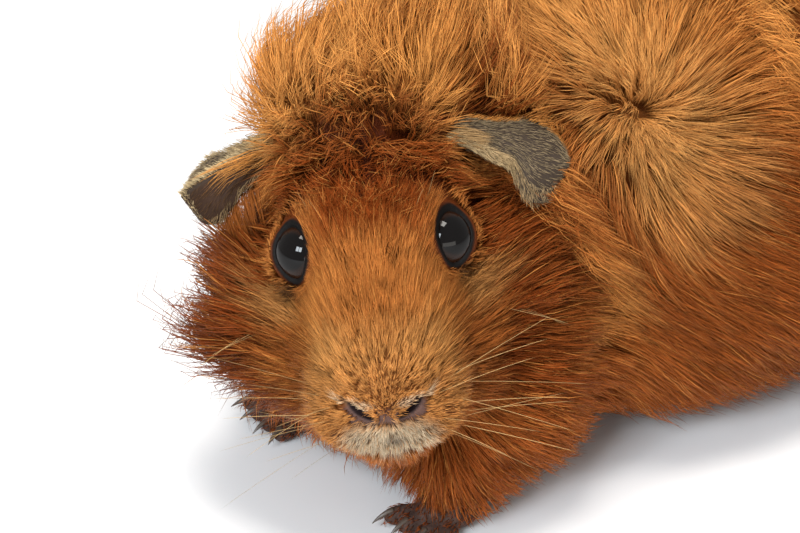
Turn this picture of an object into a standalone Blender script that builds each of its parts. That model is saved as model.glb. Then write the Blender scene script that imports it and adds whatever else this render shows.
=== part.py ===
"""A guinea pig with a rosetted coat, standing at rest with its head turned to its left.

Metres, +Z up, the floor at z = 0, the body along Y with the head toward -Y, so that +X is the animal's left. The
body is a blend of rounded masses, each an ellipsoid of flesh grown by the depth of coat over it. It is then parted
into head, neck, trunk and legs with narrow gaps, and carries separate eyes, ears, feet and claws.
"""

import bmesh
import bpy
import numpy as np
from mathutils import Euler, Matrix, Vector

MM = 0.001
GAP = 0.3  # mm between pieces that touch

# The head: x left, y back and z up from the point midway between the eyeballs.
HEAD_AT = (20.0, -88.0, 64.0)
HEAD_PITCH, HEAD_ROLL, HEAD_YAW = 7.0, -6.0, 53.0  # degrees: nose down, left side up, turned left
EYE_AT, EYE_RADIUS = (12.2, 0.0, 0.0), 6.6
HEAD_REACH = ((0.0, -4.0, -4.0), (42.0, 37.0, 42.0))  # the ellipsoid that parts the head from the neck

VOXEL, FOOT_VOXEL = 1.7, 0.8
BODY_TRIANGLES, FOOT_TRIANGLES = 2050, 180

# Each mass: centre, radii of the flesh, depth of coat, width of its blend, turn in degrees about x, y, z.
TRUNK_MASSES = [
    ((0, -24, 46), (34, 44, 35), 9, 14, (0, 0, 0)),  # ribcage
    ((-2, 18, 52), (35, 58, 29), 9, 14, (0, 0, 0)),  # back
    ((19, 10, 28), (27, 54, 20), 8, 14, (0, 0, 0)),  # left flank
    ((-23, 10, 28), (27, 54, 20), 8, 14, (0, 0, 0)),  # right flank
    ((-2, 14, 30), (30, 54, 22), 8.5, 12, (0, 0, 0)),  # belly
    ((2, 62, 41), (37, 36, 34), 9, 14, (0, 0, 0)),  # pelvis
    ((-2, -36, 58), (27, 28, 25), 9, 12, (0, 0, 0)),  # withers
    ((1, -66, 33), (26, 25, 23), 8, 12, (0, 0, 0)),  # chest
    ((-8, -54, 58), (24, 24, 25), 9, 14, (0, 0, 0)),  # nape
    ((4, -64, 43), (25, 22, 22), 9, 12, (0, 0, 0)),  # neck
    ((24, -60, 29), (14, 20, 21), 7, 10, (0, 0, 0)),  # left upper arm
    ((-18, -65, 27), (14, 20, 20), 8, 10, (0, 0, 0)),  # right upper arm
    ((37, 56, 29), (17, 31, 26), 8, 10, (0, 0, 0)),  # left haunch
    ((-33, 56, 29), (17, 31, 26), 8, 10, (0, 0, 0)),  # right haunch
    ((27, -72, 17), (8, 9, 14), 4, 8, (0, 0, 0)),  # left forearm
    ((-19, -72, 17), (8, 9, 14), 4, 8, (0, 0, 0)),  # right forearm
    ((39, 52, 15), (11, 17, 11), 4, 8, (0, 0, 0)),  # left hock
    ((-35, 52, 15), (11, 17, 11), 4, 8, (0, 0, 0)),  # right hock
]
HEAD_MASSES = [
    ((0, 12, 0), (15, 22, 15), 3.5, 8, (0, 0, 0)),  # cranium
    ((0, 25, 15), (10, 14, 6), 12, 8, (0, 0, 0)),  # crest on the crown
    ((-9.5, 25, 14), (7, 10, 6), 10, 8, (0, 0, 0)),  # right side of the crest
    ((0, 0, 4), (9.5, 13, 6), 3, 6, (10, 0, 0)),  # forehead
    ((0, -13, -3.5), (9, 16, 8.5), 2.5, 6, (24, 0, 0)),  # bridge of the nose
    ((0, -17, -13), (12.5, 16, 12.5), 2.2, 6, (0, 0, 0)),  # muzzle
    ((17, 10, -18), (11, 15, 11), 8, 5, (0, 0, 0)),  # left cheek
    ((-17, 10, -18), (11, 15, 11), 10, 5, (0, 0, 0)),  # right cheek
    ((10, -4, -19), (9, 13, 10), 6, 6, (0, 0, 0)),  # left jowl
    ((-10, -4, -19), (9, 13, 10), 6, 6, (0, 0, 0)),  # right jowl
    ((0, -8, -22.5), (12, 16, 9), 4.5, 6, (0, 0, 0)),  # jaw
    ((6, -24, -17.5), (7, 7.5, 7), 1.8, 3, (0, 0, 0)),  # left whisker pad
    ((-6, -24, -17.5), (7, 7.5, 7), 1.8, 3, (0, 0, 0)),  # right whisker pad
    ((0, -28, -13.5), (6.5, 4.5, 5), 1.0, 3, (0, 0, 0)),  # nose
    ((0, -22, -26), (6, 6, 4.5), 1.8, 4, (0, 0, 0)),  # lower lip
    ((9.5, 2, 5), (6, 8, 4), 1.5, 5, (0, 0, 0)),  # left brow
    ((-9.5, 2, 5), (6, 8, 4), 1.5, 5, (0, 0, 0)),  # right brow
    ((13, 13, -6), (6, 9, 7), 4, 5, (0, 0, 0)),  # left temple
    ((-13, 13, -6), (6, 9, 7), 4, 5, (0, 0, 0)),  # right temple
    ((0, 9, -27), (18, 21, 12), 7, 8, (0, 0, 0)),  # throat
    ((13, 20, 9), (6, 6, 5), 1.5, 5, (0, 0, 0)),  # root of the left ear
    ((-13, 20, 9), (6, 6, 5), 1.5, 5, (0, 0, 0)),  # root of the right ear
]
# The coat thins round each eye, so that the eyeball stands out of its hollow.
EYE_HOLLOW = ((20.6, -8.2, 1.2), (8.2, 8.2, 9.6), 2.0)
# The long hair of the cheek stands over a crease where the turned head meets the shoulder.
CREASE = ((46.0, -53.0, 48.0), (5.0, 5.5, 25.0), 6.0)

# Each ear is a drooping petal: where it starts, the way to its tip and the way to its front margin.
EAR_ROOT, EAR_AXIS, EAR_SIDE = (15.0, 19.0, 11.0), (18.0, -3.5, -6.5), (-0.32, -0.9, -0.25)
EAR_BACK, EAR_FRONT, EAR_CUP, EAR_THICK = 6.8, 7.6, 3.4, 1.7
# Length, and how much each ear widens toward its tip at the front and at the back: left ear, right ear.
EAR_SHAPES = {1: (24.5, 0.50, 0.60), -1: (22.0, 0.10, 0.30)}

# Each foot: where it stands, its turn about z, its toes' turns and its size.
FOREFEET = {"left": (28.0, -76.0, 8.0), "right": (-20.0, -76.0, -8.0)}
HINDFEET = {"left": (41.0, 48.0, 10.0), "right": (-37.0, 48.0, -10.0)}
LEG_REACH = {
    "foreleg_left": ((27.0, -68.0, 12.0), (17.0, 19.0, 21.0)),
    "foreleg_right": ((-19.0, -68.0, 12.0), (17.0, 19.0, 21.0)),
    "hindleg_left": ((42.0, 54.0, 13.0), (20.0, 30.0, 24.0)),
    "hindleg_right": ((-38.0, 54.0, 13.0), (20.0, 30.0, 24.0)),
}
NECK_PLANE = ((0.0, -50.0, 62.0), -20.0)  # a point on it and its lean in degrees

COLOURS = {
    "coat": (0.55, 0.25, 0.08, 1.0),
    "skin": (0.10, 0.085, 0.085, 1.0),
    "eye": (0.012, 0.010, 0.010, 1.0),
    "claw": (0.09, 0.065, 0.05, 1.0),
}
ROUGHNESS = {"coat": 0.8, "skin": 0.6, "eye": 0.08, "claw": 0.35}

HEAD = (
    Matrix.Translation(Vector(HEAD_AT))
    @ Matrix.Rotation(np.radians(HEAD_YAW), 4, "Z")
    @ Matrix.Rotation(np.radians(HEAD_PITCH), 4, "X")
    @ Matrix.Rotation(np.radians(HEAD_ROLL), 4, "Y")
)


def clear_scene():
    """The startup objects are removed, with their data."""
    for obj in list(bpy.data.objects):
        bpy.data.objects.remove(obj)
    for mesh in list(bpy.data.meshes):
        bpy.data.meshes.remove(mesh)


def new_collection(name):
    made = bpy.data.collections.new(name)
    bpy.context.scene.collection.children.link(made)
    return made


clear_scene()
ANIMAL = new_collection("guinea_pig")
CUTTERS = new_collection("cutters")


def material(slot):
    """A plain surface of the slot's colour and roughness."""
    made = bpy.data.materials.get(slot) or bpy.data.materials.new(slot)
    made.use_nodes = True
    shader = made.node_tree.nodes["Principled BSDF"]
    shader.inputs["Base Color"].default_value = COLOURS[slot]
    shader.inputs["Roughness"].default_value = ROUGHNESS[slot]
    made.diffuse_color = COLOURS[slot]
    return made


def link(obj, slot=None):
    """Puts a piece with the animal, or a cutter with the hidden helpers."""
    for holder in list(obj.users_collection):
        holder.objects.unlink(obj)
    if slot is None:
        CUTTERS.objects.link(obj)
        obj.hide_render, obj.display_type = True, "WIRE"
    else:
        ANIMAL.objects.link(obj)
        obj.hide_render, obj.display_type = False, "TEXTURED"
        obj.data.materials.clear()
        obj.data.materials.append(material(slot))
    return obj


def baked_mesh(obj):
    """The object's mesh with its modifiers and its place taken up into the points."""
    bpy.context.view_layer.update()
    graph = bpy.context.evaluated_depsgraph_get()
    mesh = bpy.data.meshes.new_from_object(obj.evaluated_get(graph), depsgraph=graph)
    mesh.transform(obj.matrix_world)
    obj.modifiers.clear()
    obj.data, obj.matrix_world = mesh, Matrix.Identity(4)
    return obj


def points_of(obj):
    flat = np.empty(len(obj.data.vertices) * 3)
    obj.data.vertices.foreach_get("co", flat)
    return flat.reshape(-1, 3) / MM


def put_points(obj, points):
    obj.data.vertices.foreach_set("co", (points * MM).ravel())
    obj.data.update()


def facing_out(obj):
    """Turns every face of a closed mesh to the outside."""
    work = bmesh.new()
    work.from_mesh(obj.data)
    bmesh.ops.recalc_face_normals(work, faces=work.faces)
    work.to_mesh(obj.data)
    work.free()
    return obj


def main_body(obj):
    """Drops the crumbs that a Boolean leaves, keeping the island with the most faces."""
    work = bmesh.new()
    work.from_mesh(obj.data)
    left, islands = set(work.faces), []
    while left:
        island, edge = set(), [left.pop()]
        while edge:
            face = edge.pop()
            island.add(face)
            near = {other for side in face.edges for other in side.link_faces} & left
            left -= near
            edge.extend(near)
        islands.append(island)
    islands.sort(key=len)
    for island in islands[:-1]:
        print("dropped from", obj.name, len(island), "faces of", len(islands[-1]))
        bmesh.ops.delete(work, geom=list(island), context="FACES")
    work.to_mesh(obj.data)
    work.free()
    return obj


def ball(name, centre, radii, turn=(0, 0, 0), frame=None, segments=24, rings=14):
    """An ellipsoid from a UV sphere, in millimetres, in the body's frame or the head's."""
    bpy.ops.mesh.primitive_uv_sphere_add(segments=segments, ring_count=rings, radius=1)
    obj = bpy.context.active_object
    obj.name = name
    place = Matrix.Translation(Vector(centre)) @ Euler(np.radians(turn)).to_matrix().to_4x4()
    place = (frame or Matrix.Identity(4)) @ place @ Matrix.Diagonal((*radii, 1))
    obj.matrix_world = Matrix.Scale(MM, 4) @ place
    return link(baked_mesh(obj))


def box(name, centre, sizes, lean=0.0):
    """A cuboid leaning about x, in millimetres."""
    bpy.ops.mesh.primitive_cube_add(size=1)
    obj = bpy.context.active_object
    obj.name = name
    lean = Matrix.Rotation(np.radians(lean), 4, "X")
    place = Matrix.Translation(Vector(centre)) @ lean @ Matrix.Diagonal((*sizes, 1))
    obj.matrix_world = Matrix.Scale(MM, 4) @ place
    return link(baked_mesh(obj))


def joined(name, pieces):
    """The pieces as one mesh, still interpenetrating."""
    bpy.ops.object.select_all(action="DESELECT")
    for piece in pieces:
        piece.select_set(True)
    bpy.context.view_layer.objects.active = pieces[0]
    bpy.ops.object.join()
    obj = bpy.context.active_object
    obj.name = name
    return obj


def remeshed(obj, voxel):
    """One closed skin round everything in the mesh."""
    change = obj.modifiers.new("one_skin", "REMESH")
    change.mode, change.voxel_size, change.use_smooth_shade = "VOXEL", voxel * MM, False
    return baked_mesh(obj)


def thinned(obj, triangles):
    """The mesh as triangles, reduced to about this many."""
    change = obj.modifiers.new("triangles", "TRIANGULATE")
    obj = baked_mesh(obj)
    change = obj.modifiers.new("thinned", "DECIMATE")
    if "rounded" in obj.vertex_groups:
        change.vertex_group, change.vertex_group_factor = "rounded", 0.12
    change.ratio = min(1.0, triangles / len(obj.data.polygons))
    change.use_collapse_triangulate = True
    return baked_mesh(obj)


def combined(obj, other, operation):
    """The Boolean of two closed meshes."""
    change = obj.modifiers.new(operation.lower(), "BOOLEAN")
    change.operation, change.solver, change.object = operation, "EXACT", other
    return baked_mesh(obj)


def copy_of(obj, name):
    made = bpy.data.objects.new(name, obj.data.copy())
    return link(made)


def ellipsoid_distance(points, centre, radii, turn):
    """How far each point is outside an ellipsoid, nearly: k0 (k0 - 1) / k1, where k0 is the length of the point
    over the radii and k1 of the point over their squares."""
    turn = np.array(Euler(np.radians(turn)).to_matrix())
    radii = np.array(radii, float)
    local = (points - np.array(centre, float)) @ turn
    k0 = np.linalg.norm(local / radii, axis=1)
    k1 = np.maximum(np.linalg.norm(local / radii**2, axis=1), 1e-9)
    return k0 * (k0 - 1) / k1


def blend(a, b, width):
    """The smaller of two distances, with a fillet of this width where they are close."""
    near = np.maximum(width - np.abs(a - b), 0) / width
    return np.minimum(a, b) - near * near * width / 4


def outside(points):
    """The signed distance of each point from the tips of the coat: negative within."""
    to_head = np.array(HEAD.inverted())
    in_head = points @ to_head[:3, :3].T + to_head[:3, 3]
    found = np.full(len(points), 1e3)
    for where, masses in ((points, TRUNK_MASSES), (in_head, HEAD_MASSES)):
        for centre, radii, coat, width, turn in masses:
            grown = [radius + coat for radius in radii]
            found = blend(found, ellipsoid_distance(where, centre, grown, turn), width)
    for side in (1, -1):
        centre = (side * EYE_HOLLOW[0][0], *EYE_HOLLOW[0][1:])
        hollow = ellipsoid_distance(in_head, centre, EYE_HOLLOW[1], (0, 0, 0))
        found = -blend(-found, hollow, EYE_HOLLOW[2])
    crease = ellipsoid_distance(points, CREASE[0], CREASE[1], (0, 0, 0))
    return -blend(-found, crease, CREASE[2])


def settled(points, rounds=6):
    """The points moved along the distance's slope until they lie on the tips of the coat."""
    step = 0.2
    for _ in range(rounds):
        here = outside(points)
        slope = np.stack(
            [
                (outside(points + np.eye(3)[i] * step) - outside(points - np.eye(3)[i] * step)) / (2 * step)
                for i in range(3)
            ],
            1,
        )
        size = np.maximum((slope**2).sum(1, keepdims=True), 0.2)
        points = points - np.clip(here, -3, 3)[:, None] * slope / size
    return points


def make_body():
    """The whole coat-covered body as one mesh, flat underneath where it meets the floor."""
    balls = []
    for i, (centre, radii, coat, _, turn) in enumerate(TRUNK_MASSES + HEAD_MASSES):
        grown = [radius + coat for radius in radii]
        frame = HEAD if i >= len(TRUNK_MASSES) else None
        balls.append(ball(f"mass_{i}", centre, grown, turn, frame, 32, 20))
    body = remeshed(joined("body", balls), VOXEL)
    points = settled(points_of(body))
    put_points(body, points)
    # The face keeps more of its triangles than the round of the back.
    from_face = np.linalg.norm(points - np.array(HEAD_AT), axis=1)
    for low, high, weight in ((0, 30, 0.5), (30, 45, 0.7), (45, 1e3, 1.0)):
        group = body.vertex_groups.get("rounded") or body.vertex_groups.new(name="rounded")
        chosen = np.nonzero((from_face >= low) & (from_face < high))[0]
        group.add(chosen.tolist(), weight, "REPLACE")
    body = thinned(body, BODY_TRIANGLES)
    return combined(body, box("floor", (0, 0, -20), (400, 400, 40)), "DIFFERENCE")


def step_up(x, low, high):
    """0 below low, 1 above high, and an S-shaped cubic between."""
    t = np.clip((x - low) / (high - low), 0, 1)
    return t * t * (3 - 2 * t)


def rounded_off(x, start, power):
    """1 up to the start, then down to 0 at 1 along the side of a superellipse."""
    return np.sqrt(np.maximum(1 - np.clip((x - start) / (1 - start), 0, 1) ** power, 0))


def ear(name, side):
    """A thin sphere laid out as a petal that arches across. Its front margin is raised in a lip as far as a notch,
    and past the notch it widens into a lobe that hangs down."""
    bpy.ops.mesh.primitive_uv_sphere_add(segments=16, ring_count=11, radius=1)
    obj = bpy.context.active_object
    obj.name = name
    obj = link(baked_mesh(obj))
    unit = points_of(obj) * MM
    along, across, through = (unit[:, 2] + 1) / 2, unit[:, 0], unit[:, 1]
    axis = np.array(EAR_AXIS) / np.linalg.norm(EAR_AXIS)
    front = np.array(EAR_SIDE) - axis * (np.array(EAR_SIDE) @ axis)
    front /= np.linalg.norm(front)
    up = np.cross(front, axis)
    # The sphere's own sections narrow to both ends; the root is opened out again.
    section = np.sqrt(np.maximum(1 - (2 * along - 1) ** 2, 1e-6))
    share = np.clip(across / np.maximum(section, 1e-3), -1, 1)
    root = np.where(along < 0.5, np.maximum(section, 0.75) ** 0.8, 1.0)
    length, lobe, back = EAR_SHAPES[side]
    behind = EAR_BACK * (0.8 + back * step_up(along, 0.25, 0.7)) * rounded_off(along, 0.66, 2.4)
    before = EAR_FRONT * (0.62 + lobe * step_up(along, 0.56, 0.74)) * rounded_off(along, 0.7, 2.2)
    width = np.where(share < 0, behind, before) * root
    lip = 1.8 * step_up(share, 0.45, 1.0) * (1 - step_up(along, 0.5, 0.62))
    thick = (EAR_THICK / 2) * (1.0 + 0.7 * np.clip(share, 0, 1) ** 2 + 1.2 * (1 - along) ** 3)
    droop = -2.5 * along**2 - 2.0 * step_up(along, 0.55, 1.0) * np.clip(share, 0, 1) ** 2
    arch = EAR_CUP * (0.35 + 0.65 * along) * (1 - share**2)
    place = (
        np.array(EAR_ROOT)
        + axis * (along * length)[:, None]
        + front * (share * width)[:, None]
        + up * (arch + droop + lip + through * thick)[:, None]
    )
    place *= np.array((side, 1, 1))
    matrix = np.array(HEAD)
    put_points(obj, place @ matrix[:3, :3].T + matrix[:3, 3])
    return facing_out(obj)


def room_round(obj, name, grow):
    """The space a thin piece needs: copies of it moved each way by grow, joined in one skin."""
    copies = []
    for i, way in enumerate(((1, 0, 0), (-1, 0, 0), (0, 1, 0), (0, -1, 0), (0, 0, 1), (0, 0, -1))):
        copies.append(copy_of(obj, f"{name}_{i}"))
        put_points(copies[-1], points_of(obj) + np.array(way) * grow)
    return thinned(remeshed(joined(name, copies), 0.55), 260)


def toes_of(kind):
    """Each toe of a foot: its root, its turn about z, its length and half width. The foot points toward -y."""
    if kind == "fore":
        return [((x, -4.5, 3.0), turn, 4.6, 1.9) for x, turn in ((-4.6, -24), (-1.7, -8), (1.7, 8), (4.6, 24))]
    return [((x, -14.0, 3.2), turn, 6.2, 2.3) for x, turn in ((-4.1, -12), (0.0, 0), (4.1, 12))]


def foot_frame(stand, mirror):
    x, y, turn = stand
    return Matrix.Translation((x, y, 0)) @ Matrix.Rotation(np.radians(turn), 4, "Z") @ Matrix.Diagonal((mirror, 1, 1, 1))


def foot(name, kind, stand, mirror, grow=0.0):
    """A sole pad and its toes as one skin, cut flat where it stands."""
    frame = foot_frame(stand, mirror)
    if kind == "fore":
        balls = [((0, 1.0, 4.0), (6.2, 7.5, 4.6)), ((0, 3.0, 8.5), (5.2, 5.6, 6.5))]
    else:
        balls = [((0, 0.0, 4.2), (6.8, 18.5, 4.9)), ((0, 8.0, 7.0), (6.2, 9.0, 6.0))]
    pieces = [ball(f"{name}_pad", at, [r + grow for r in radii], frame=frame) for at, radii in balls]
    for at, turn, length, half in toes_of(kind):
        turned = frame @ Matrix.Translation(at) @ Matrix.Rotation(np.radians(turn), 4, "Z")
        radii = (half + grow, length + grow, half * 1.15 + grow)
        pieces.append(ball(f"{name}_toe", (0, -length * 0.5, -0.6), radii, (-6, 0, 0), turned))
    made = thinned(remeshed(joined(name, pieces), FOOT_VOXEL), FOOT_TRIANGLES)
    if grow:
        return link(made)
    return combined(link(made), box(f"{name}_floor", (0, 0, -20), (400, 400, 40)), "DIFFERENCE")


def claw(name, kind, stand, mirror, toe, grow=0.0):
    """A short curved cone at the end of a toe, its tip just clear of the floor."""
    at, turn, length, half = toes_of(kind)[toe]
    size = 0.8 if kind == "fore" else 1.05
    bpy.ops.mesh.primitive_cone_add(vertices=8, radius1=1.0, radius2=0.12, depth=1)
    obj = bpy.context.active_object
    obj.name = name
    obj = link(baked_mesh(obj))
    unit = points_of(obj) * MM
    along = unit[:, 2] + 0.5  # 0 at the root, 1 at the tip
    reach, half_width = 6.0 * size, 1.1 * size
    place = np.stack(
        [
            unit[:, 0] * (half_width * 0.8 + grow),
            -(along * (reach + 2 * grow) - grow) - (length * 1.36 - 2.0 * size),
            unit[:, 1] * (half_width + grow) + 1.1 - 2.4 * size * along**2,
        ],
        1,
    )
    matrix = foot_frame(stand, mirror) @ Matrix.Translation(at) @ Matrix.Rotation(np.radians(turn), 4, "Z")
    matrix = np.array(matrix)
    place = place @ matrix[:3, :3].T + matrix[:3, 3]
    put_points(obj, place)
    return facing_out(obj)


def build():
    body = make_body()
    centre, radii = HEAD_REACH
    head_in = ball("head_in", centre, radii, frame=HEAD, segments=24, rings=14)
    head_out = ball("head_out", centre, [r + GAP for r in radii], frame=HEAD, segments=24, rings=14)
    at, lean = NECK_PLANE
    before = Matrix.Rotation(np.radians(lean), 4, "X") @ Vector((0, -100.0, 0))
    gap = Matrix.Rotation(np.radians(lean), 4, "X") @ Vector((0, -GAP, 0))
    neck_out = box("neck_out", Vector(at) + before, (400, 200, 400), lean)
    neck_in = box("neck_in", Vector(at) + before + gap, (400, 200, 400), lean)

    feet, claws, claw_rooms = {}, {}, []
    for kind, stands in (("fore", FOREFEET), ("hind", HINDFEET)):
        for side, stand in stands.items():
            mirror = 1 if side == "left" else -1
            name = f"{kind}foot_{side}"
            made = foot(name, kind, stand, mirror)
            for toe in range(len(toes_of(kind))):
                key = f"claw_{kind}_{side}_{toe + 1}"
                claws[key] = claw(key, kind, stand, mirror, toe)
                claw_rooms.append(claw(key + "_room", kind, stand, mirror, toe, GAP))
                made = combined(made, claw_rooms[-1], "DIFFERENCE")
            feet[name] = (made, foot(name + "_room", kind, stand, mirror, GAP + 0.55))

    head = combined(copy_of(body, "head"), head_in, "INTERSECT")
    rest = combined(copy_of(body, "rest"), head_out, "DIFFERENCE")
    for name, (centre, radii) in LEG_REACH.items():
        leg_in = ball(name + "_in", centre, radii, segments=14, rings=8)
        leg_out = ball(name + "_out", centre, [r + GAP for r in radii], segments=14, rings=8)
        leg = combined(copy_of(rest, name), leg_in, "INTERSECT")
        for foot_name, (_, room) in feet.items():
            if foot_name == name.replace("leg", "foot"):
                leg = combined(leg, room, "DIFFERENCE")
        link(leg, "coat").name = name
        rest = combined(rest, leg_out, "DIFFERENCE")
    for room in [room for _, room in feet.values()] + claw_rooms:
        rest = combined(rest, room, "DIFFERENCE")
    neck = combined(copy_of(rest, "neck"), neck_in, "INTERSECT")
    trunk = combined(copy_of(rest, "trunk"), neck_out, "DIFFERENCE")
    for side, sign in (("left", 1), ("right", -1)):
        at = (sign * EYE_AT[0], EYE_AT[1], EYE_AT[2])
        eye = ball(f"eye_{side}", at, [EYE_RADIUS] * 3, frame=HEAD, segments=14, rings=8)
        socket = ball(f"socket_{side}", at, [EYE_RADIUS + GAP] * 3, frame=HEAD, segments=14, rings=8)
        head = combined(head, socket, "DIFFERENCE")
        link(eye, "eye")
        made = link(ear(f"ear_{side}", sign), "skin")
        room = room_round(made, f"ear_room_{side}", GAP + 0.55)
        head = combined(head, room, "DIFFERENCE")
        neck = combined(neck, room, "DIFFERENCE")
    for piece, name in ((head, "head"), (neck, "neck"), (trunk, "trunk")):
        link(piece, "coat").name = name
    for name, (made, _) in feet.items():
        link(made, "skin").name = name
    for made in claws.values():
        link(made, "claw")


def centre_on_floor():
    """Moves everything so that the middle of the footprint is at the origin."""
    bpy.context.view_layer.update()
    points = np.concatenate([points_of(obj) for obj in ANIMAL.objects])
    low, high = points.min(0), points.max(0)
    shift = -np.array(((low[0] + high[0]) / 2, (low[1] + high[1]) / 2, low[2]))
    for obj in ANIMAL.objects:
        put_points(obj, points_of(obj) + shift)
    return low + shift, high + shift, shift


build()
for piece in ANIMAL.objects:
    main_body(piece)
low, high, shift = centre_on_floor()
for helper in list(CUTTERS.objects):
    bpy.data.objects.remove(helper)
print("size in mm:", np.round(high - low, 1), "moved by:", np.round(shift, 2))
for obj in sorted(ANIMAL.objects, key=lambda obj: obj.name):
    obj.data.calc_loop_triangles()
    print(obj.name, len(obj.data.loop_triangles))
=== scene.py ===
"""A life-size still guinea pig with a rosetted red-golden coat, standing with its head turned to its left.

Lengths are in millimetres until a mesh is written, +Z is up and the floor is z = 0. The body lies along Y
with the head toward -Y, so that +X is the animal's left.
"""

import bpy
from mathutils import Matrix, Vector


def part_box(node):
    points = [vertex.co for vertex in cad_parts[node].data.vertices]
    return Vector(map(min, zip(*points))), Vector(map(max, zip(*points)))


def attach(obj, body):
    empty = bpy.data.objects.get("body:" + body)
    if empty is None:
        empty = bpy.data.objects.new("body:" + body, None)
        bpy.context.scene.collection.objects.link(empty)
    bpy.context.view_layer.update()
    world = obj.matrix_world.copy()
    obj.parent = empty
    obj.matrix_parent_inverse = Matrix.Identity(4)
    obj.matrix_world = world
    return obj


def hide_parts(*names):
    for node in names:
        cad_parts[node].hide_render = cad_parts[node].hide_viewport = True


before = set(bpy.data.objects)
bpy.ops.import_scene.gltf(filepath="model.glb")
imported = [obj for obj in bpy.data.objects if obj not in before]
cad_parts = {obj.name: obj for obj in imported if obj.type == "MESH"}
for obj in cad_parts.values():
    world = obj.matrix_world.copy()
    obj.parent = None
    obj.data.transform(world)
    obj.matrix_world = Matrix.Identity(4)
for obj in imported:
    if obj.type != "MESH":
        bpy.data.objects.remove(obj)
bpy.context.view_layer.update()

import bmesh
import bpy
import numpy as np
from mathutils import Euler, Matrix, Vector

MM = 0.001

# The camera looks down on the face from its left front, level with the gaze, and frames the head, the neck
# and the left shoulder.
eye_boxes = {side: np.array(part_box(f"eye_{side}")) for side in ("left", "right")}
eye_centres = {side: (low + high) / 2 / MM for side, (low, high) in eye_boxes.items()}
eye_middle = (eye_centres["left"] + eye_centres["right"]) / 2
VIEW_AZIMUTH, VIEW_ELEVATION, VIEW_DISTANCE = np.radians(51.0), np.radians(30.0), 411.0
VIEW_OFFSET = (4.8, -3.9)  # right and up from the middle of the eyes
camera_right = np.array((np.cos(VIEW_AZIMUTH), np.sin(VIEW_AZIMUTH), 0.0))
level = np.array((np.sin(VIEW_AZIMUTH), -np.cos(VIEW_AZIMUTH), 0.0))
toward_camera = level * np.cos(VIEW_ELEVATION) + np.array((0, 0, np.sin(VIEW_ELEVATION)))
camera_up = np.cross(toward_camera, camera_right)
lens = bpy.data.cameras.new("camera")
lens.lens, lens.sensor_width, lens.clip_start, lens.clip_end = 100.0, 36.0, 0.01, 20.0
camera = bpy.data.objects.new("camera", lens)
bpy.context.scene.collection.objects.link(camera)
aim = eye_middle + camera_right * VIEW_OFFSET[0] + camera_up * VIEW_OFFSET[1]
camera.location = (aim + toward_camera * VIEW_DISTANCE) * MM
camera.rotation_euler = Vector(-toward_camera).to_track_quat("-Z", "Y").to_euler()
bpy.context.scene.camera = camera


# Skin: one soft furred skin over the whole animal, fast to the flesh and bare on the lids, the ears and the
# soles. Its shape is a blend of rounded masses, each with its own depth of coat over it. The head's masses
# are in the head's frame: x left, y back, z up from between the eyes.
HEAD_PITCH, HEAD_ROLL, HEAD_YAW = 7.0, -6.0, 53.0
head_matrix = np.array(
    Matrix.Translation(Vector(eye_middle))
    @ Matrix.Rotation(np.radians(HEAD_YAW), 4, "Z")
    @ Matrix.Rotation(np.radians(HEAD_PITCH), 4, "X")
    @ Matrix.Rotation(np.radians(HEAD_ROLL), 4, "Y")
)
head_inverse = np.linalg.inv(head_matrix)
BODY_ORIGIN = eye_middle - np.array((20.0, -88.0, 64.0))
# Each mass: centre, radii, depth of coat, width of the fillet to those before it, and its turn if any.
TRUNK_MASSES = [
    ((0, -24, 46), (34, 44, 35), 9, 14),  # ribcage
    ((-2, 18, 52), (35, 58, 29), 9, 14),  # back
    ((19, 10, 28), (27, 54, 20), 8, 14),  # left flank
    ((-23, 10, 28), (27, 54, 20), 8, 14),  # right flank
    ((-2, 14, 30), (30, 54, 22), 8.5, 12),  # belly
    ((2, 62, 41), (37, 36, 34), 9, 14),  # pelvis
    ((-2, -36, 58), (27, 28, 25), 9, 12),  # withers
    ((1, -66, 33), (26, 25, 23), 8, 12),  # chest
    ((-8, -54, 58), (24, 24, 25), 9, 14),  # nape
    ((4, -64, 43), (25, 22, 22), 9, 12),  # neck
    ((24, -60, 29), (14, 20, 21), 7, 10),  # left upper arm
    ((-18, -65, 27), (14, 20, 20), 8, 10),  # right upper arm
    ((37, 56, 29), (17, 31, 26), 8, 10),  # left haunch
    ((-33, 56, 29), (17, 31, 26), 8, 10),  # right haunch
    ((27, -72, 17), (8, 9, 14), 4, 8),  # left forearm
    ((-19, -72, 17), (8, 9, 14), 4, 8),  # right forearm
    ((39, 52, 15), (11, 17, 11), 4, 8),  # left hock
    ((-35, 52, 15), (11, 17, 11), 4, 8),  # right hock
]


def pair(centre, *rest):
    """A mass on the left of the head, and the same mirrored on its right."""
    return (centre, *rest), ((-centre[0], *centre[1:]), *rest)


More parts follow.
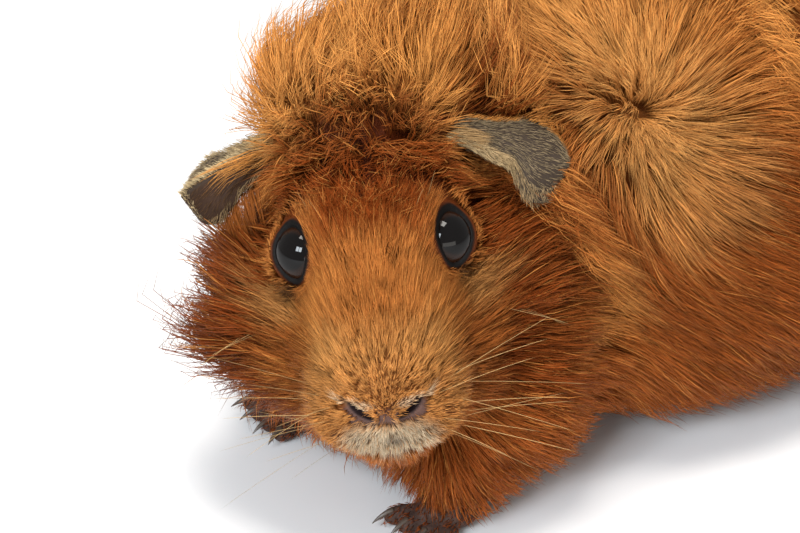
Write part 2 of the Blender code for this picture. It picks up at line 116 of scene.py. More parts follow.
HEAD_MASSES = [
    ((0, 12, 0), (15, 22, 15), 3.5, 8),  # cranium
    ((0, 25, 15), (10, 14, 6), 12, 8),  # crest on the crown
    ((-9.5, 25, 14), (7, 10, 6), 10, 8),  # right side of the crest
    ((0, 0, 4), (9.5, 13, 6), 3, 6, (10, 0, 0)),  # forehead
    ((0, -13, -3.5), (9, 16, 8.5), 2.5, 6, (24, 0, 0)),  # bridge of the nose
    ((0, -17, -13), (12.5, 16, 12.5), 2.2, 6),  # muzzle
    ((17, 10, -18), (11, 15, 11), 8, 5),  # left cheek
    ((-17, 10, -18), (11, 15, 11), 10, 5),  # right cheek
    *pair((10, -4, -19), (9, 13, 10), 6, 6),  # jowls
    ((0, -8, -22.5), (12, 16, 9), 4.5, 6),  # jaw
    *pair((6, -24, -17.5), (7, 7.5, 7), 1.8, 3),  # whisker pads
    ((0, -28, -13.5), (6.5, 4.5, 5), 1.0, 3),  # nose
    ((0, -22, -26), (6, 6, 4.5), 1.8, 4),  # lower lip
    *pair((9.5, 2, 5), (6, 8, 4), 1.5, 5),  # brows
    *pair((13, 13, -6), (6, 9, 7), 4, 5),  # temples
    ((0, 9, -27), (18, 21, 12), 7, 8),  # throat
    *pair((13, 20, 9), (6, 6, 5), 1.5, 5),  # roots of the ears
]
CREASE = ((46.0, -53.0, 48.0), (5.0, 5.5, 25.0), 6.0)  # in the coat, behind the left cheek
EYE_RADIUS, EYE_IN_HEAD = 6.6, np.array((12.2, 0.0, 0.0))
EYE_HOLLOW = ((20.6, -8.2, 1.2), (8.2, 8.2, 9.6), 2.0)
# The feet stand flat on the floor. Each foot: place, turn about z, side. Each toe: place, turn, length and
# half width. Each pad: place and radii.
FEET = {
    "forefoot_left": (28.0, -76.0, 8.0, 1),
    "forefoot_right": (-20.0, -76.0, -8.0, -1),
    "hindfoot_left": (41.0, 48.0, 10.0, 1),
    "hindfoot_right": (-37.0, 48.0, -10.0, -1),
}
FORE_TOES = [((x, -4.5, 3.0), turn, 4.6, 1.9) for x, turn in ((-4.6, -24), (-1.7, -8), (1.7, 8), (4.6, 24))]
HIND_TOES = [((x, -14.0, 3.2), turn, 6.2, 2.3) for x, turn in ((-4.1, -12), (0.0, 0), (4.1, 12))]
TOE_DIP = -6  # degrees that each toe points down
FORE_PADS = [((0, 1.0, 4.0), (6.2, 7.5, 4.6)), ((0, 3.0, 8.5), (5.2, 5.6, 6.5))]
HIND_PADS = [((0, 0.0, 4.2), (6.8, 18.5, 4.9)), ((0, 8.0, 7.0), (6.2, 9.0, 6.0))]


def smooth(x, low, high):
    """0 below low, 1 above high, and an S-shaped cubic between."""
    t = np.clip((x - low) / (high - low), 0, 1)
    return t * t * (3 - 2 * t)


def unit(vectors):
    """Each vector over its own length."""
    return vectors / np.maximum(np.linalg.norm(vectors, axis=-1, keepdims=True), 1e-9)


def into_head(points):
    """Places in the world as places in the head's frame."""
    return points @ head_inverse[:3, :3].T + head_inverse[:3, 3]


def out_of_head(points):
    """Places in the head's frame as places in the world."""
    return points @ head_matrix[:3, :3].T + head_matrix[:3, 3]


def to_left(in_head, side):
    """Places in the head's frame as they are for side 1, or mirrored from right to left for side -1."""
    return in_head * np.array((side, 1, 1))


def folded(in_head):
    """Places in the head's frame with those of its right side mirrored to its left."""
    return np.column_stack([np.abs(in_head[:, 0]), in_head[:, 1:]])


def ellipsoid_distance(points, centre, radii, turn=(0, 0, 0)):
    """How far each point is outside an ellipsoid, nearly: k0 (k0 - 1) / k1, where k0 is the length of the
    point over the radii and k1 of the point over their squares."""
    local = points - np.array(centre, float)
    if any(turn):
        local = local @ np.array(Euler(np.radians(turn)).to_matrix())
    radii = np.array(radii, float)
    k0 = np.linalg.norm(local / radii, axis=1)
    k1 = np.maximum(np.linalg.norm(local / radii**2, axis=1), 1e-9)
    return k0 * (k0 - 1) / k1


def blended(a, b, width):
    """The smaller of two distances, with a fillet of this width where they are close."""
    close = np.maximum(width - np.abs(a - b), 0) / width
    return np.minimum(a, b) - close * close * width / 4


def carved(a, b, width):
    """The first distance with the second's shape cut out of it, with a fillet of this width along the cut."""
    return -blended(-a, b, width)


def foot_matrix(name):
    """A foot's own frame: on the floor where the foot stands, turned, and mirrored on the right."""
    x, y, turn, mirror = FEET[name]
    place = Matrix.Translation(Vector(BODY_ORIGIN) + Vector((x, y, 0)))
    return place @ Matrix.Rotation(np.radians(turn), 4, "Z") @ Matrix.Diagonal((mirror, 1, 1, 1))


def foot_balls(name):
    """Each ball of a foot as (matrix from a unit ball's place, radii): pads, then toes."""
    fore = name.startswith("fore")
    place = foot_matrix(name)
    for centre, radii in FORE_PADS if fore else HIND_PADS:
        yield place @ Matrix.Translation(centre), radii
    for centre, turn, length, half in FORE_TOES if fore else HIND_TOES:
        turned = place @ Matrix.Translation(centre) @ Matrix.Rotation(np.radians(turn), 4, "Z")
        turned = turned @ Matrix.Translation((0, -length * 0.5, -0.6))
        yield turned @ Matrix.Rotation(np.radians(TOE_DIP), 4, "X"), (half, length, half * 1.15)


def masses_distance(points, coat=0.0):
    """The signed distance from the blended masses, grown by this share of each one's depth of coat. Each
    mass is worked out only for the points near it."""
    found = np.full(len(points), 60.0)
    for where, masses in ((points - BODY_ORIGIN, TRUNK_MASSES), (into_head(points), HEAD_MASSES)):
        for centre, radii, depth, width, *turn in masses:
            close = ((where - np.array(centre)) ** 2).sum(1) < (max(radii) + depth + 22) ** 2
            if close.any():
                grown = [radius + coat * depth for radius in radii]
                here = ellipsoid_distance(where[close], centre, grown, *turn)
                found[close] = blended(found[close], here, width)
    if coat:
        found = carved(found, ellipsoid_distance(points - BODY_ORIGIN, *CREASE[:2]), CREASE[2])
    return found


def root_distance(points):
    """The signed distance from the surface the coat grows on: the masses with the eye hollows, the lids and
    the wings of the nostrils."""
    found = masses_distance(points)
    in_head = into_head(points)
    close = ((in_head - np.array((0, -14, -6))) ** 2).sum(1) < 40**2
    if close.any():
        value = found[close]
        for side in (1, -1):
            mirrored = to_left(in_head[close], side)
            value = carved(value, ellipsoid_distance(mirrored, *EYE_HOLLOW[:2]), EYE_HOLLOW[2])
            away = np.linalg.norm(mirrored - EYE_IN_HEAD, axis=1) - EYE_RADIUS
            outside = lid_angle(mirrored) - 3.0 - 5.0 * np.clip(away - 0.7, 0, 5)
            cone = outside * (EYE_RADIUS + away) * np.radians(1)  # keeps the way to the opening clear
            value = carved(value, np.where(away < -4, 4.0, cone), 0.8)
            value = blended(value, lid_distance(mirrored), 1.6)
            value = blended(value, ellipsoid_distance(mirrored, *NOSTRIL_WING), 1.0)
        found[close] = value
    return found


def skin_distance(points):
    """The signed distance from the skin: with the feet, less the nostrils, the lip cleft and the mouth."""
    found = root_distance(points)
    for name in FEET:
        centre = np.array(foot_matrix(name).translation)
        close = ((points - centre) ** 2).sum(1) < 34**2
        if close.any():
            for matrix, radii in foot_balls(name):
                local = (points[close] - np.array(matrix.translation)) @ np.array(matrix)[:3, :3]
                found[close] = blended(found[close], ellipsoid_distance(local, (0, 0, 0), radii), 1.2)
    in_head = into_head(points)
    close = ((in_head - np.array((0, -30, -14))) ** 2).sum(1) < 18**2
    if close.any():
        here, value = in_head[close], found[close]
        for side in (1, -1):
            value = carved(value, ellipsoid_distance(to_left(here, side), *NOSTRIL), 0.5)
        value = carved(value, ellipsoid_distance(here, *LIP_CLEFT), 0.6)
        value = carved(value, ellipsoid_distance(here, *MOUTH), 0.6)
        found[close] = value
    return found


# Muzzle details in the head's frame: centre, radii, turn in degrees.
NOSTRIL = ((4.4, -32.2, -12.3), (2.9, 1.7, 0.95), (0, -27, 20))
NOSTRIL_WING = ((4.6, -30.6, -10.9), (3.3, 1.8, 1.1), (0, -27, 20))
LIP_CLEFT = ((0, -32.9, -19.5), (0.45, 1.2, 4.0))
MOUTH = ((0, -29.0, -24.2), (7.0, 2.6, 0.6))
SKIN_VOXEL = 1.25
# The lids are thick dark rims round an almond opening, long from the front corner up to the back one.
LID_GAZE = np.array((0.49, -0.66, 0.57)) / np.linalg.norm((0.49, -0.66, 0.57))
LID_LONG = np.array((0.0, 0.6, 0.8)) - LID_GAZE * (LID_GAZE @ np.array((0.0, 0.6, 0.8)))
LID_LONG /= np.linalg.norm(LID_LONG)
LID_SHORT = np.cross(LID_LONG, LID_GAZE)
LID_OPENING, LID_RIM = (30.5, 45.0), (33.0, 49.0)  # half widths in degrees, across and along
LID_PROFILE = ((-16, -1.6), (-4, -0.7), (-0.5, 0.25), (3, 0.7), (8, 0.75), (18, 0.45), (45, 0.35), (90, 0.3))


def lid_angle(in_head, opening=LID_OPENING):
    """How many degrees each point is outside the left eye's opening, seen from the middle of the eyeball. The
    opening is |x/a|^1.8 + |y/b|^1.8 = 1 in degrees across and along, drawn out at the front corner."""
    line = in_head - EYE_IN_HEAD
    line = line / np.maximum(np.linalg.norm(line, axis=1, keepdims=True), 1e-6)
    off = np.degrees(np.arccos(np.clip(line @ LID_GAZE, -1, 1)))
    turn = np.arctan2(line @ LID_LONG, line @ LID_SHORT)
    across, along = opening
    along = along + 5.0 * smooth(-np.sin(turn), 0.75, 1.0)
    edge = (np.abs(np.cos(turn) / across) ** 1.8 + np.abs(np.sin(turn) / along) ** 1.8) ** (-1 / 1.8)
    return off - edge


def lid_distance(in_head):
    """The signed distance from the lids: the distance to the eyeball's middle, less a radius that steps up
    from inside the eyeball to a rounded rim as the line leaves the opening."""
    away = np.linalg.norm(in_head - EYE_IN_HEAD, axis=1)
    angles, heights = np.array(LID_PROFILE).T
    return (away - EYE_RADIUS - np.interp(lid_angle(in_head), angles, heights)) * 0.9


def slopes(distance, points, step=0.12):
    """The outward slope of a distance at each point, by central differences."""
    offsets = np.eye(3) * step
    return np.stack([(distance(points + o) - distance(points - o)) / (2 * step) for o in offsets], 1)


def settled(distance, points, rounds=4, most=2.0):
    """The points moved along the slope until the distance is 0."""
    for _ in range(rounds):
        slope = slopes(distance, points)
        size = np.maximum((slope**2).sum(1, keepdims=True), 0.25)
        points = points - np.clip(distance(points), -most, most)[:, None] * slope / size
    return points


def ball_grid(around, along):
    """A unit ball as rings of latitude and longitude: its points, four-sided faces and pole faces."""
    latitude, longitude = np.pi * np.arange(1, along) / along, 2 * np.pi * np.arange(around) / around
    latitude, longitude = np.meshgrid(latitude, longitude, indexing="ij")
    across = np.sin(latitude)
    rings = np.stack([across * np.cos(longitude), across * np.sin(longitude), np.cos(latitude)], -1)
    points = np.concatenate([rings.reshape(-1, 3), [[0, 0, 1], [0, 0, -1]]])
    row, column = np.meshgrid(np.arange(along - 2), np.arange(around), indexing="ij")
    a, b = row * around + column, row * around + (column + 1) % around
    quads = np.stack([a, a + around, b + around, b], -1).reshape(-1, 4)
    here, following = np.arange(around), (np.arange(around) + 1) % around
    pole, last = np.full(around, len(points) - 2), (along - 2) * around
    top = np.stack([pole, here, following], -1)
    caps = np.concatenate([top, np.stack([pole + 1, last + following, last + here], -1)])
    return points, quads, caps


def faced(faces, kept):
    """The faces as they are, or turned over to face the other way."""
    return faces if kept else [kind[:, ::-1] for kind in faces]


def new_mesh(name, points, faces):
    """A mesh from points in millimetres and a list of face arrays, each of one kind of polygon."""
    mesh = bpy.data.meshes.new(name)
    mesh.vertices.add(len(points))
    mesh.vertices.foreach_set("co", (np.asarray(points) * MM).astype(np.float32).ravel())
    sizes = np.concatenate([np.full(len(f), f.shape[1]) for f in faces])
    mesh.loops.add(int(sizes.sum()))
    mesh.loops.foreach_set("vertex_index", np.concatenate([f.ravel() for f in faces]).astype(np.int32))
    mesh.polygons.add(len(sizes))
    mesh.polygons.foreach_set("loop_start", np.concatenate([[0], np.cumsum(sizes)[:-1]]).astype(np.int32))
    mesh.polygons.foreach_set("use_smooth", np.ones(len(sizes), bool))
    mesh.update(calc_edges=True)
    return mesh


def put_colours(mesh, name, colours):
    """A colour for each point of a mesh, as an attribute that its material reads."""
    layer = mesh.attributes.new(name, "FLOAT_COLOR", "POINT")
    colours = np.concatenate([colours, np.ones((len(colours), 1))], 1)
    layer.data.foreach_set("color", colours.astype(np.float32).ravel())


def new_object(name, mesh):
    """An object at the origin for a mesh that already has its place."""
    obj = bpy.data.objects.new(name, mesh)
    bpy.context.scene.collection.objects.link(obj)
    return obj


def points_of(obj):
    """The places of an object's points in millimetres."""
    flat = np.empty(len(obj.data.vertices) * 3, np.float32)
    obj.data.vertices.foreach_get("co", flat)
    return flat.reshape(-1, 3).astype(float) / MM


def put_points(obj, points):
    """Moves an object's points to these places in millimetres."""
    obj.data.vertices.foreach_set("co", (points * MM).astype(np.float32).ravel())
    obj.data.update()


def applied(obj):
    """The object's mesh with its modifiers taken up into it."""
    graph = bpy.context.evaluated_depsgraph_get()
    mesh = bpy.data.meshes.new_from_object(obj.evaluated_get(graph), depsgraph=graph)
    old = obj.data
    obj.modifiers.clear()
    obj.data = mesh
    bpy.data.meshes.remove(old)
    return obj


def skin_balls():
    """All the masses, foot balls and eyeballs as one mesh of ellipsoids that pass through one another."""
    points, quads, caps = ball_grid(28, 18)
    placed = []
    frames = Matrix.Translation(BODY_ORIGIN), Matrix(head_matrix.tolist())
    for matrix, masses in zip(frames, (TRUNK_MASSES, HEAD_MASSES)):
        for centre, radii, _, _, *turn in masses:
            turned = matrix @ Matrix.Translation(centre)
            for angles in turn:
                turned = turned @ Euler(np.radians(angles)).to_matrix().to_4x4()
            placed.append(np.array(turned @ Matrix.Diagonal((*radii, 1))))
    for name in FEET:
        placed += [np.array(matrix @ Matrix.Diagonal((*radii, 1))) for matrix, radii in foot_balls(name)]
    for centre in eye_centres.values():
        placed.append(np.array(Matrix.Translation(centre) @ Matrix.Scale(EYE_RADIUS + 0.7, 4)))
    every = np.concatenate([points @ m[:3, :3].T + m[:3, 3] for m in placed])
    start = len(points) * np.arange(len(placed))
    flips = np.array([np.linalg.det(m[:3, :3]) < 0 for m in placed])
    faces = []
    for kind in (quads, caps):
        moved = kind[None] + start[:, None, None]
        moved[flips] = moved[flips][:, :, ::-1]
        faces.append(moved.reshape(-1, kind.shape[1]))
    return new_mesh("skin", every, faces)


def refined(obj, places, reach):
    """Divides in four the faces whose points are all within reach of one of the places."""
    work = bmesh.new()
    work.from_mesh(obj.data)
    points = points_of(obj)
    close = np.zeros(len(points), bool)
    for place, distance in zip(places, reach):
        close |= ((points - place) ** 2).sum(1) < distance**2
    work.verts.ensure_lookup_table()
    chosen = [edge for edge in work.edges if close[edge.verts[0].index] and close[edge.verts[1].index]]
    bmesh.ops.subdivide_edges(work, edges=chosen, cuts=1, use_grid_fill=True)
    bmesh.ops.triangulate(work, faces=[face for face in work.faces if len(face.verts) > 4])
    work.to_mesh(obj.data)
    work.free()
    return obj


# The balls become one surface, which settles onto the blend and is divided finely at feet, nose and eyes.
skin = new_object("skin", skin_balls())
change = skin.modifiers.new("one_skin", "REMESH")
change.mode, change.voxel_size, change.use_smooth_shade = "VOXEL", SKIN_VOXEL * MM, True
skin = applied(skin)
put_points(skin, settled(skin_distance, points_of(skin), 3))
nose_at = out_of_head(np.array((0, -30, -16)))
# the nose, the four feet and the eyes, then the nose and the lids alone, each with its reach
feet_at = [np.array(foot_matrix(name).translation) + (0, -6, 4) for name in FEET]
skin = refined(skin, [nose_at, *feet_at, *eye_centres.values()], [19, 16, 16, 22, 22, 13, 13])
put_points(skin, settled(skin_distance, points_of(skin), 3, 1.0))
eye_fronts = [out_of_head(np.array((side * 15.5, -4.5, 3.8))) for side in (1, -1)]
skin = refined(skin, [nose_at, *eye_fronts], [13, 9.5, 9.5])
put_points(skin, settled(skin_distance, points_of(skin), 5, 0.6))
put_points(skin, np.maximum(points_of(skin), (-np.inf, -np.inf, 0.05)))  # nothing goes below the floor

# Each ear is a drooping petal of the same skin: its front margin is a raised lip as far as a notch, and
# past the notch it widens into a lobe that hangs down. It is worked out along, across and through, in
# shares of its size.
EAR_ROOT, EAR_AXIS, EAR_SIDE = (15.0, 19.0, 11.0), (18.0, -3.5, -6.5), (-0.32, -0.9, -0.25)
EAR_BACK, EAR_FRONT, EAR_CUP, EAR_THICK = 6.8, 7.6, 3.4, 1.5
# Length, and how much each ear widens toward its tip at the front and at the back: left ear, right ear.
EAR_SHAPES = {1: (24.5, 0.50, 0.60), -1: (22.0, 0.10, 0.30)}
ear_axis = unit(np.array(EAR_AXIS))
ear_front = unit(np.array(EAR_SIDE) - ear_axis * (np.array(EAR_SIDE) @ ear_axis))
ear_up = np.cross(ear_front, ear_axis)


def rounded_off(x, start, power):
    """1 up to the start, then down to 0 at 1 along the side of a superellipse."""
    return np.sqrt(np.maximum(1 - np.clip((x - start) / (1 - start), 0, 1) ** power, 0))


def ear_place(along, share, through, section, side):
    """The place in the world of a point of the ear: along from root to tip, its share of the half width
    from the back margin at -1 to the front at 1, and through the thickness from -1 to 1."""
    root = np.where(along < 0.5, np.maximum(section, 0.75) ** 0.8, 1.0)
    length, lobe, back = EAR_SHAPES[side]
    behind = EAR_BACK * (0.8 + back * smooth(along, 0.25, 0.7)) * rounded_off(along, 0.66, 2.4)
    before = EAR_FRONT * (0.62 + lobe * smooth(along, 0.56, 0.74)) * rounded_off(along, 0.7, 2.2)
    width = np.where(share < 0, behind, before) * root
    lip = 1.8 * smooth(share, 0.45, 1.0) * (1 - smooth(along, 0.5, 0.62))
    thick = (EAR_THICK / 2) * (1.0 + 0.7 * np.clip(share, 0, 1) ** 2 + 1.2 * (1 - along) ** 3)
    droop = -2.5 * along**2 - 2.0 * smooth(along, 0.55, 1.0) * np.clip(share, 0, 1) ** 2
    arch = EAR_CUP * (0.35 + 0.65 * along) * (1 - share**2)
    ripple = 0.25 * np.sin(along * 17 + share * 3) * share**2 * (along > 0.15)
    if side < 0:  # the right ear has a ridge along its middle, with a hollow before it
        ridge = 1.1 * np.exp(-(((share + 0.05) / 0.16) ** 2)) - 0.8 * smooth(share, 0.1, 0.5)
        ripple = ripple + ridge * smooth(along, 0.15, 0.4)
    placed = (
        np.array(EAR_ROOT)
        + ear_axis * (along * length)[:, None]
        + ear_front * (share * width)[:, None]
        + ear_up * (arch + droop + lip + ripple + through * thick)[:, None]
    )
    return out_of_head(to_left(placed, side))


def ear_mesh(name, side):
    """A unit ball laid out as the ear: z becomes along, x over the ring's radius the share, and y through."""
    points, quads, caps = ball_grid(56, 40)
    along, section = (points[:, 2] + 1) / 2, np.sqrt(np.maximum(1 - points[:, 2] ** 2, 1e-6))
    share = np.clip(points[:, 0] / np.maximum(section, 1e-3), -1, 1)
    through = points[:, 1]
    return new_mesh(name, ear_place(along, share, through, section, side), faced([quads, caps], side < 0))


for side, name in ((1, "ear_left"), (-1, "ear_right")):
    flap = new_object(name, ear_mesh(name, side))
    change = skin.modifiers.new("with_ear", "BOOLEAN")
    change.operation, change.solver, change.object = "UNION", "MANIFOLD", flap
    skin = applied(skin)
    bpy.data.objects.remove(flap)
skin.data.polygons.foreach_set("use_smooth", np.ones(len(skin.data.polygons), bool))


# The markings of the skin and the coat, with painted shade and light among them, are one set of colours,
# each a soft mask round a place on the head or the body. The colours are what the eye sees, turned into the
# shader's linear ones.
def linear(*rgb):
    """A colour of 0 to 255 as linear light: ((c + 0.055) / 1.055) ^ 2.4, or c / 12.92 where dark."""
    c = np.array(rgb) / 255
    return np.where(c < 0.04045, c / 12.92, ((c + 0.055) / 1.055) ** 2.4)


CROWN_ROSETTES = out_of_head(np.array([(9.6, 15.0, 18.0), (-11.3, 17.0, 17.0)]))
SHOULDER_ROSETTES = ((25.5, -25, 75), (-35, -28, 72))
BACK_ROSETTES = ((25, 36, 78), (-28, 26, 78), (25, 66, 74), (-21, 70, 74), (50, 44, 44), (-46, 44, 44))

GOLD, ORANGE, RUST = linear(216, 148, 76), linear(183, 104, 47), linear(137, 63, 19)
PALE, CREAM, STONE = linear(208, 156, 92), linear(218, 204, 178), linear(120, 114, 108)
CHARCOAL, EAR_SKIN, PAW_SKIN = linear(13, 10, 9), linear(60, 50, 42), linear(96, 74, 66)


def near(points, centre, reach, fade):
    """1 within reach of a place and 0 past the fade, or within an ellipsoid where reach is three radii."""
    local = (points - np.array(centre, float)) / np.array(reach, float)
    return 1 - smooth(np.linalg.norm(local, axis=1), 1.0, fade)


def mixed(base, colour, share):
    """The base moved toward the colour by this share of the way, at each point."""
    return base + (np.array(colour) - base) * share[:, None]


# Each marking of the head, with the painted shade among them, one over another: colour, share, place,
# radii, fade, and if it is on both sides.
HEAD_MARKINGS_AND_SHADE = [
    (GOLD, 0.95, (0, 28, 22), (20, 12, 14), 1.5, False),  # behind the crown
    (ORANGE * 0.86, 1.0, (0, -8, 2), (22, 17, 14), 1.7, False),  # forehead, brow and bridge
    (RUST, 0.85, (20, 4, -14), (11, 14, 18), 1.7, True),  # cheeks
    (PALE, 0.35, (-12, 16, 30), (9, 9, 9), 1.5, False),  # right side of the crown
    (RUST, 0.85, (0, 2, 15), (18, 12, 8.5), 1.5, False),  # brow's middle
    (RUST, 0.9, (18, -14, -11), (9, 9, 11), 1.6, True),  # below the eyes
    (RUST * 0.8, 0.8, (-24, -12, -24), (9, 9, 10), 1.7, False),  # right jowl
    (RUST, 1.0, (9, 0, 11), (8, 8, 7), 1.6, True),  # brows
    (RUST, 0.6, (6, -16, -44), (14, 10, 9), 1.6, False),  # throat
    (RUST, 1.0, (0, -4, 9.5), (6, 6, 4.5), 1.9, False),  # middle of the forehead
    (RUST * 0.8, 0.9, (23, 22, 15), (7, 9, 10), 1.7, False),  # painted shadow behind the left ear's root
    (GOLD, 0.35, (0, -20, -3), (9, 10, 9), 1.7, False),  # bridge of the nose
    (GOLD, 0.2, (11, -18, -12), (6, 8, 8), 1.6, True),  # beside the muzzle
    (GOLD, 0.35, (15, -4, 3), (6.5, 7, 9), 1.4, True),  # over the eyes
    (PALE, 0.55, (15.5, -9, -8), (6, 4.5, 3), 1.7, True),  # before the eyes
    (CHARCOAL * 1.5, 0.85, (15.1, -6.0, -4.9), (1.9, 2.5, 2.4), 1.7, True),  # charcoal at the front corner of each eye
    (PALE, 0.6, (0, -29, -13), (12, 8, 9), 1.6, False),  # muzzle
    (CREAM, 0.6, (4.8, -31.2, -10.9), (3.6, 2.0, 0.7), 1.6, True),  # over the nostrils
    (CREAM, 0.9, (0, -31, -19.5), (6.0, 5, 4.5), 1.6, False),  # lips
    (STONE, 0.7, (0.8, -33, -20.5), (1.6, 2, 2.2), 1.8, False),  # patch on the upper lip
]


def coat_colours(points):
    """The colour of the coat's tips over each point of the skin, painted shade and light included."""
    h, b = into_head(points), points - BODY_ORIGIN
    side = folded(h)
    colour = np.tile(ORANGE, (len(points), 1))
    # the neck, shoulders and back go from gold over the top to a deeper orange low down
    colour = mixed(colour, GOLD, 0.9 * smooth(b[:, 2] + 0.1 * np.abs(b[:, 0]), 62, 80))
    colour = mixed(colour, RUST, 0.4 * smooth(b[:, 1], -44, -30) * smooth(-b[:, 2], -60, -48))
    # painted light: the neck behind the left cheek is lifted to gold against the shade under the head
    colour = mixed(colour, GOLD, 1.0 * near(b, (39, -54, 56), (10, 12, 14), 1.8))
    # painted shade in the furrow between neck and shoulder, a Gaussian across it, 4.5 mm wide
    furrow_shade = np.exp(-(((b[:, 1] + 38 - 0.12 * (b[:, 2] - 60)) / 4.5) ** 2))
    colour = mixed(colour, RUST, 0.8 * furrow_shade * smooth(b[:, 0], 10, 24) * smooth(b[:, 2], 30, 50))
    colour = mixed(colour, RUST, 0.4 * near(b, (42, -8, 58), (9, 16, 9), 1.6))
    colour = mixed(colour, PALE, 0.5 * near(b, (38, -21, 69), (11, 13, 11), 1.7))
    colour = mixed(colour, PALE, 0.3 * smooth(b[:, 2], 74, 84))
    for place in SHOULDER_ROSETTES:
        colour = mixed(colour, PALE, 0.5 * near(b, place, 6, 2.6))
    for tone, share, place, reach, fade, both_sides in HEAD_MARKINGS_AND_SHADE:
        colour = mixed(colour, tone, share * near(side if both_sides else h, place, reach, fade))
    return colour


# The coat parts at the nose, at the middle of each rosette and at the eyes, and the skin is darker under
# the rosettes. Each parting: its place, its reach, its twist in degrees.
PARTINGS = [(out_of_head(np.array((0, -33, -13.5))), 41.0, 0.0)]
PARTINGS += [(place, 16.0, twist) for place, twist in zip(CROWN_ROSETTES, (20.0, -20.0))]
PARTINGS += [(place, 7.0, 0.0) for place in eye_centres.values()]
for places, reach, twist in ((SHOULDER_ROSETTES, 22.0, 15.0), (BACK_ROSETTES, 18.0, 25.0)):
    PARTINGS += [(place + BODY_ORIGIN, reach, twist * (-1) ** i) for i, place in enumerate(places)]


def rosette_share(points):
    """0 in the middle of a rosette, where the hair is short, and 1 from half its reach outward."""
    found = np.ones(len(points))
    for place, reach, _ in PARTINGS[1:3] + PARTINGS[5:]:
        found = np.minimum(found, smooth(np.linalg.norm(points - place, axis=1), -0.15 * reach, 0.75 * reach))
    return found


class Shader:
    """A socket in a material, with arithmetic that adds Math nodes."""

    def __init__(self, tree, socket):
        self.tree, self.socket = tree, socket

    def node(self, kind, settings=(), **inputs):
        """A new node with its settings and its inputs, each by its name or as _ and its number."""
        made = self.tree.nodes.new(kind)
        for key, value in dict(settings).items():
            setattr(made, key, value)
        for key, value in inputs.items():
            name = int(key[1:]) if key[0] == "_" else key.replace("_", " ")
            if isinstance(value, Shader):
                value.joins(made, name)
            else:
                made.inputs[name].default_value = value
        return made

    def output(self, made, index=0):
        return Shader(self.tree, made.outputs[index])

    def joins(self, made, name):
        self.tree.links.new(self.socket, made.inputs[name])

    def math(self, operation, other):
        return self.output(self.node("ShaderNodeMath", {"operation": operation}, _0=self, _1=other))

    def tinted(self, colour):
        """The colour, from another node's socket or constant, multiplied by this brightness."""
        multiply = {"data_type": "RGBA", "blend_type": "MULTIPLY"}
        return self.output(self.node("ShaderNodeMix", multiply, _0=1.0, _6=colour, _7=self), 2)

    def __add__(self, other):
        return self.math("ADD", other)

    def __mul__(self, other):
        return self.math("MULTIPLY", other)

    __radd__, __rmul__ = __add__, __mul__


def new_material(name, **constants):
    """A material with a Principled shader, its constants set on its own sockets. Returns it, a Shader to
    add nodes from, and the Principled node."""
    made = bpy.data.materials.new(name)
    made.use_nodes = True
    principled = made.node_tree.nodes["Principled BSDF"]
    for key, value in constants.items():
        principled.inputs[key.replace("_", " ")].default_value = value
    return made, Shader(made.node_tree, None), principled


# The skin is warm under the coat, dark there as painted shade deep in the coat, charcoal on the lids and dark
# grey on the ears, with fine creases.
skin_points = points_of(skin)
h = into_head(skin_points)
side_h = folded(h)
muzzle = near(h, (0, -16, -8), (13, 14, 16), 1.3)[:, None]
UNDERCOAT_AND_SHADE = np.array((0.24, 0.15, 0.09))  # the share of the coat's colour that shows on the skin below it, dark as painted shade
skin_and_shade = coat_colours(skin_points) * (UNDERCOAT_AND_SHADE + 0.2 * muzzle)
skin_and_shade = skin_and_shade * (0.75 + 0.25 * rosette_share(skin_points))[:, None]
beyond = lid_angle(side_h, LID_RIM)
by_eye = np.linalg.norm(side_h - EYE_IN_HEAD, axis=1) < EYE_RADIUS + 3.5
skin_and_shade = mixed(skin_and_shade, CHARCOAL, by_eye * (1 - smooth(beyond, -1, 4)))
nose_pad = smooth(-ellipsoid_distance(side_h, (3.4, -32.0, -13.4), (4.6, 2.6, 2.4)), -1.0, 0.3)
skin_and_shade = mixed(skin_and_shade, linear(96, 76, 72), nose_pad * 0.8)
# painted shade: the nostrils and the mouth are dark in their openings
skin_and_shade = mixed(skin_and_shade, linear(34, 24, 25), smooth(-ellipsoid_distance(side_h, *NOSTRIL), -0.35, 0.0))
skin_and_shade = mixed(skin_and_shade, linear(70, 48, 44), smooth(-ellipsoid_distance(h, *MOUTH), -0.5, 0.0))
ear_part = smooth(side_h[:, 0], 15, 19) * smooth(masses_distance(skin_points), 0.3, 1.2)
ear_part = ear_part * (h[:, 2] > -14) * (h[:, 1] > 8)
hollow = smooth((side_h - np.array(EAR_ROOT)) @ ear_front, -0.5, 1.0) * (h[:, 0] < 0)  # in the right ear
ear_colour = mixed(np.tile(EAR_SKIN, (len(h), 1)), linear(52, 35, 25), hollow)
skin_and_shade = skin_and_shade + (ear_colour - skin_and_shade) * ear_part[:, None]
foot_part = smooth(-skin_points[:, 2], -15, -9) * smooth(masses_distance(skin_points), 0.0, 1.0)
skin_and_shade = mixed(skin_and_shade, PAW_SKIN * 0.6, foot_part)
put_colours(skin.data, "skin_and_shade", skin_and_shade)
hide, at, principled = new_material("hide", Roughness=0.58, Specular_IOR_Level=0.1)
place = at.output(at.node("ShaderNodeTexCoord"), 3)
mottle = at.output(at.node("ShaderNodeTexNoise", Vector=place, Scale=500.0, Detail=4.0))
tone = at.output(at.node("ShaderNodeAttribute", {"attribute_name": "skin_and_shade"}))
(mottle * 0.6 + 0.7).tinted(tone).joins(principled, "Base Color")
creases = at.output(at.node("ShaderNodeTexNoise", Vector=place, Scale=1400.0, Detail=5.0))
bump = at.output(at.node("ShaderNodeBump", Height=creases, Strength=0.5, Distance=0.0004))
bump.joins(principled, "Normal")
skin.data.materials.clear()
skin.data.materials.append(hide)
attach(skin, "root")
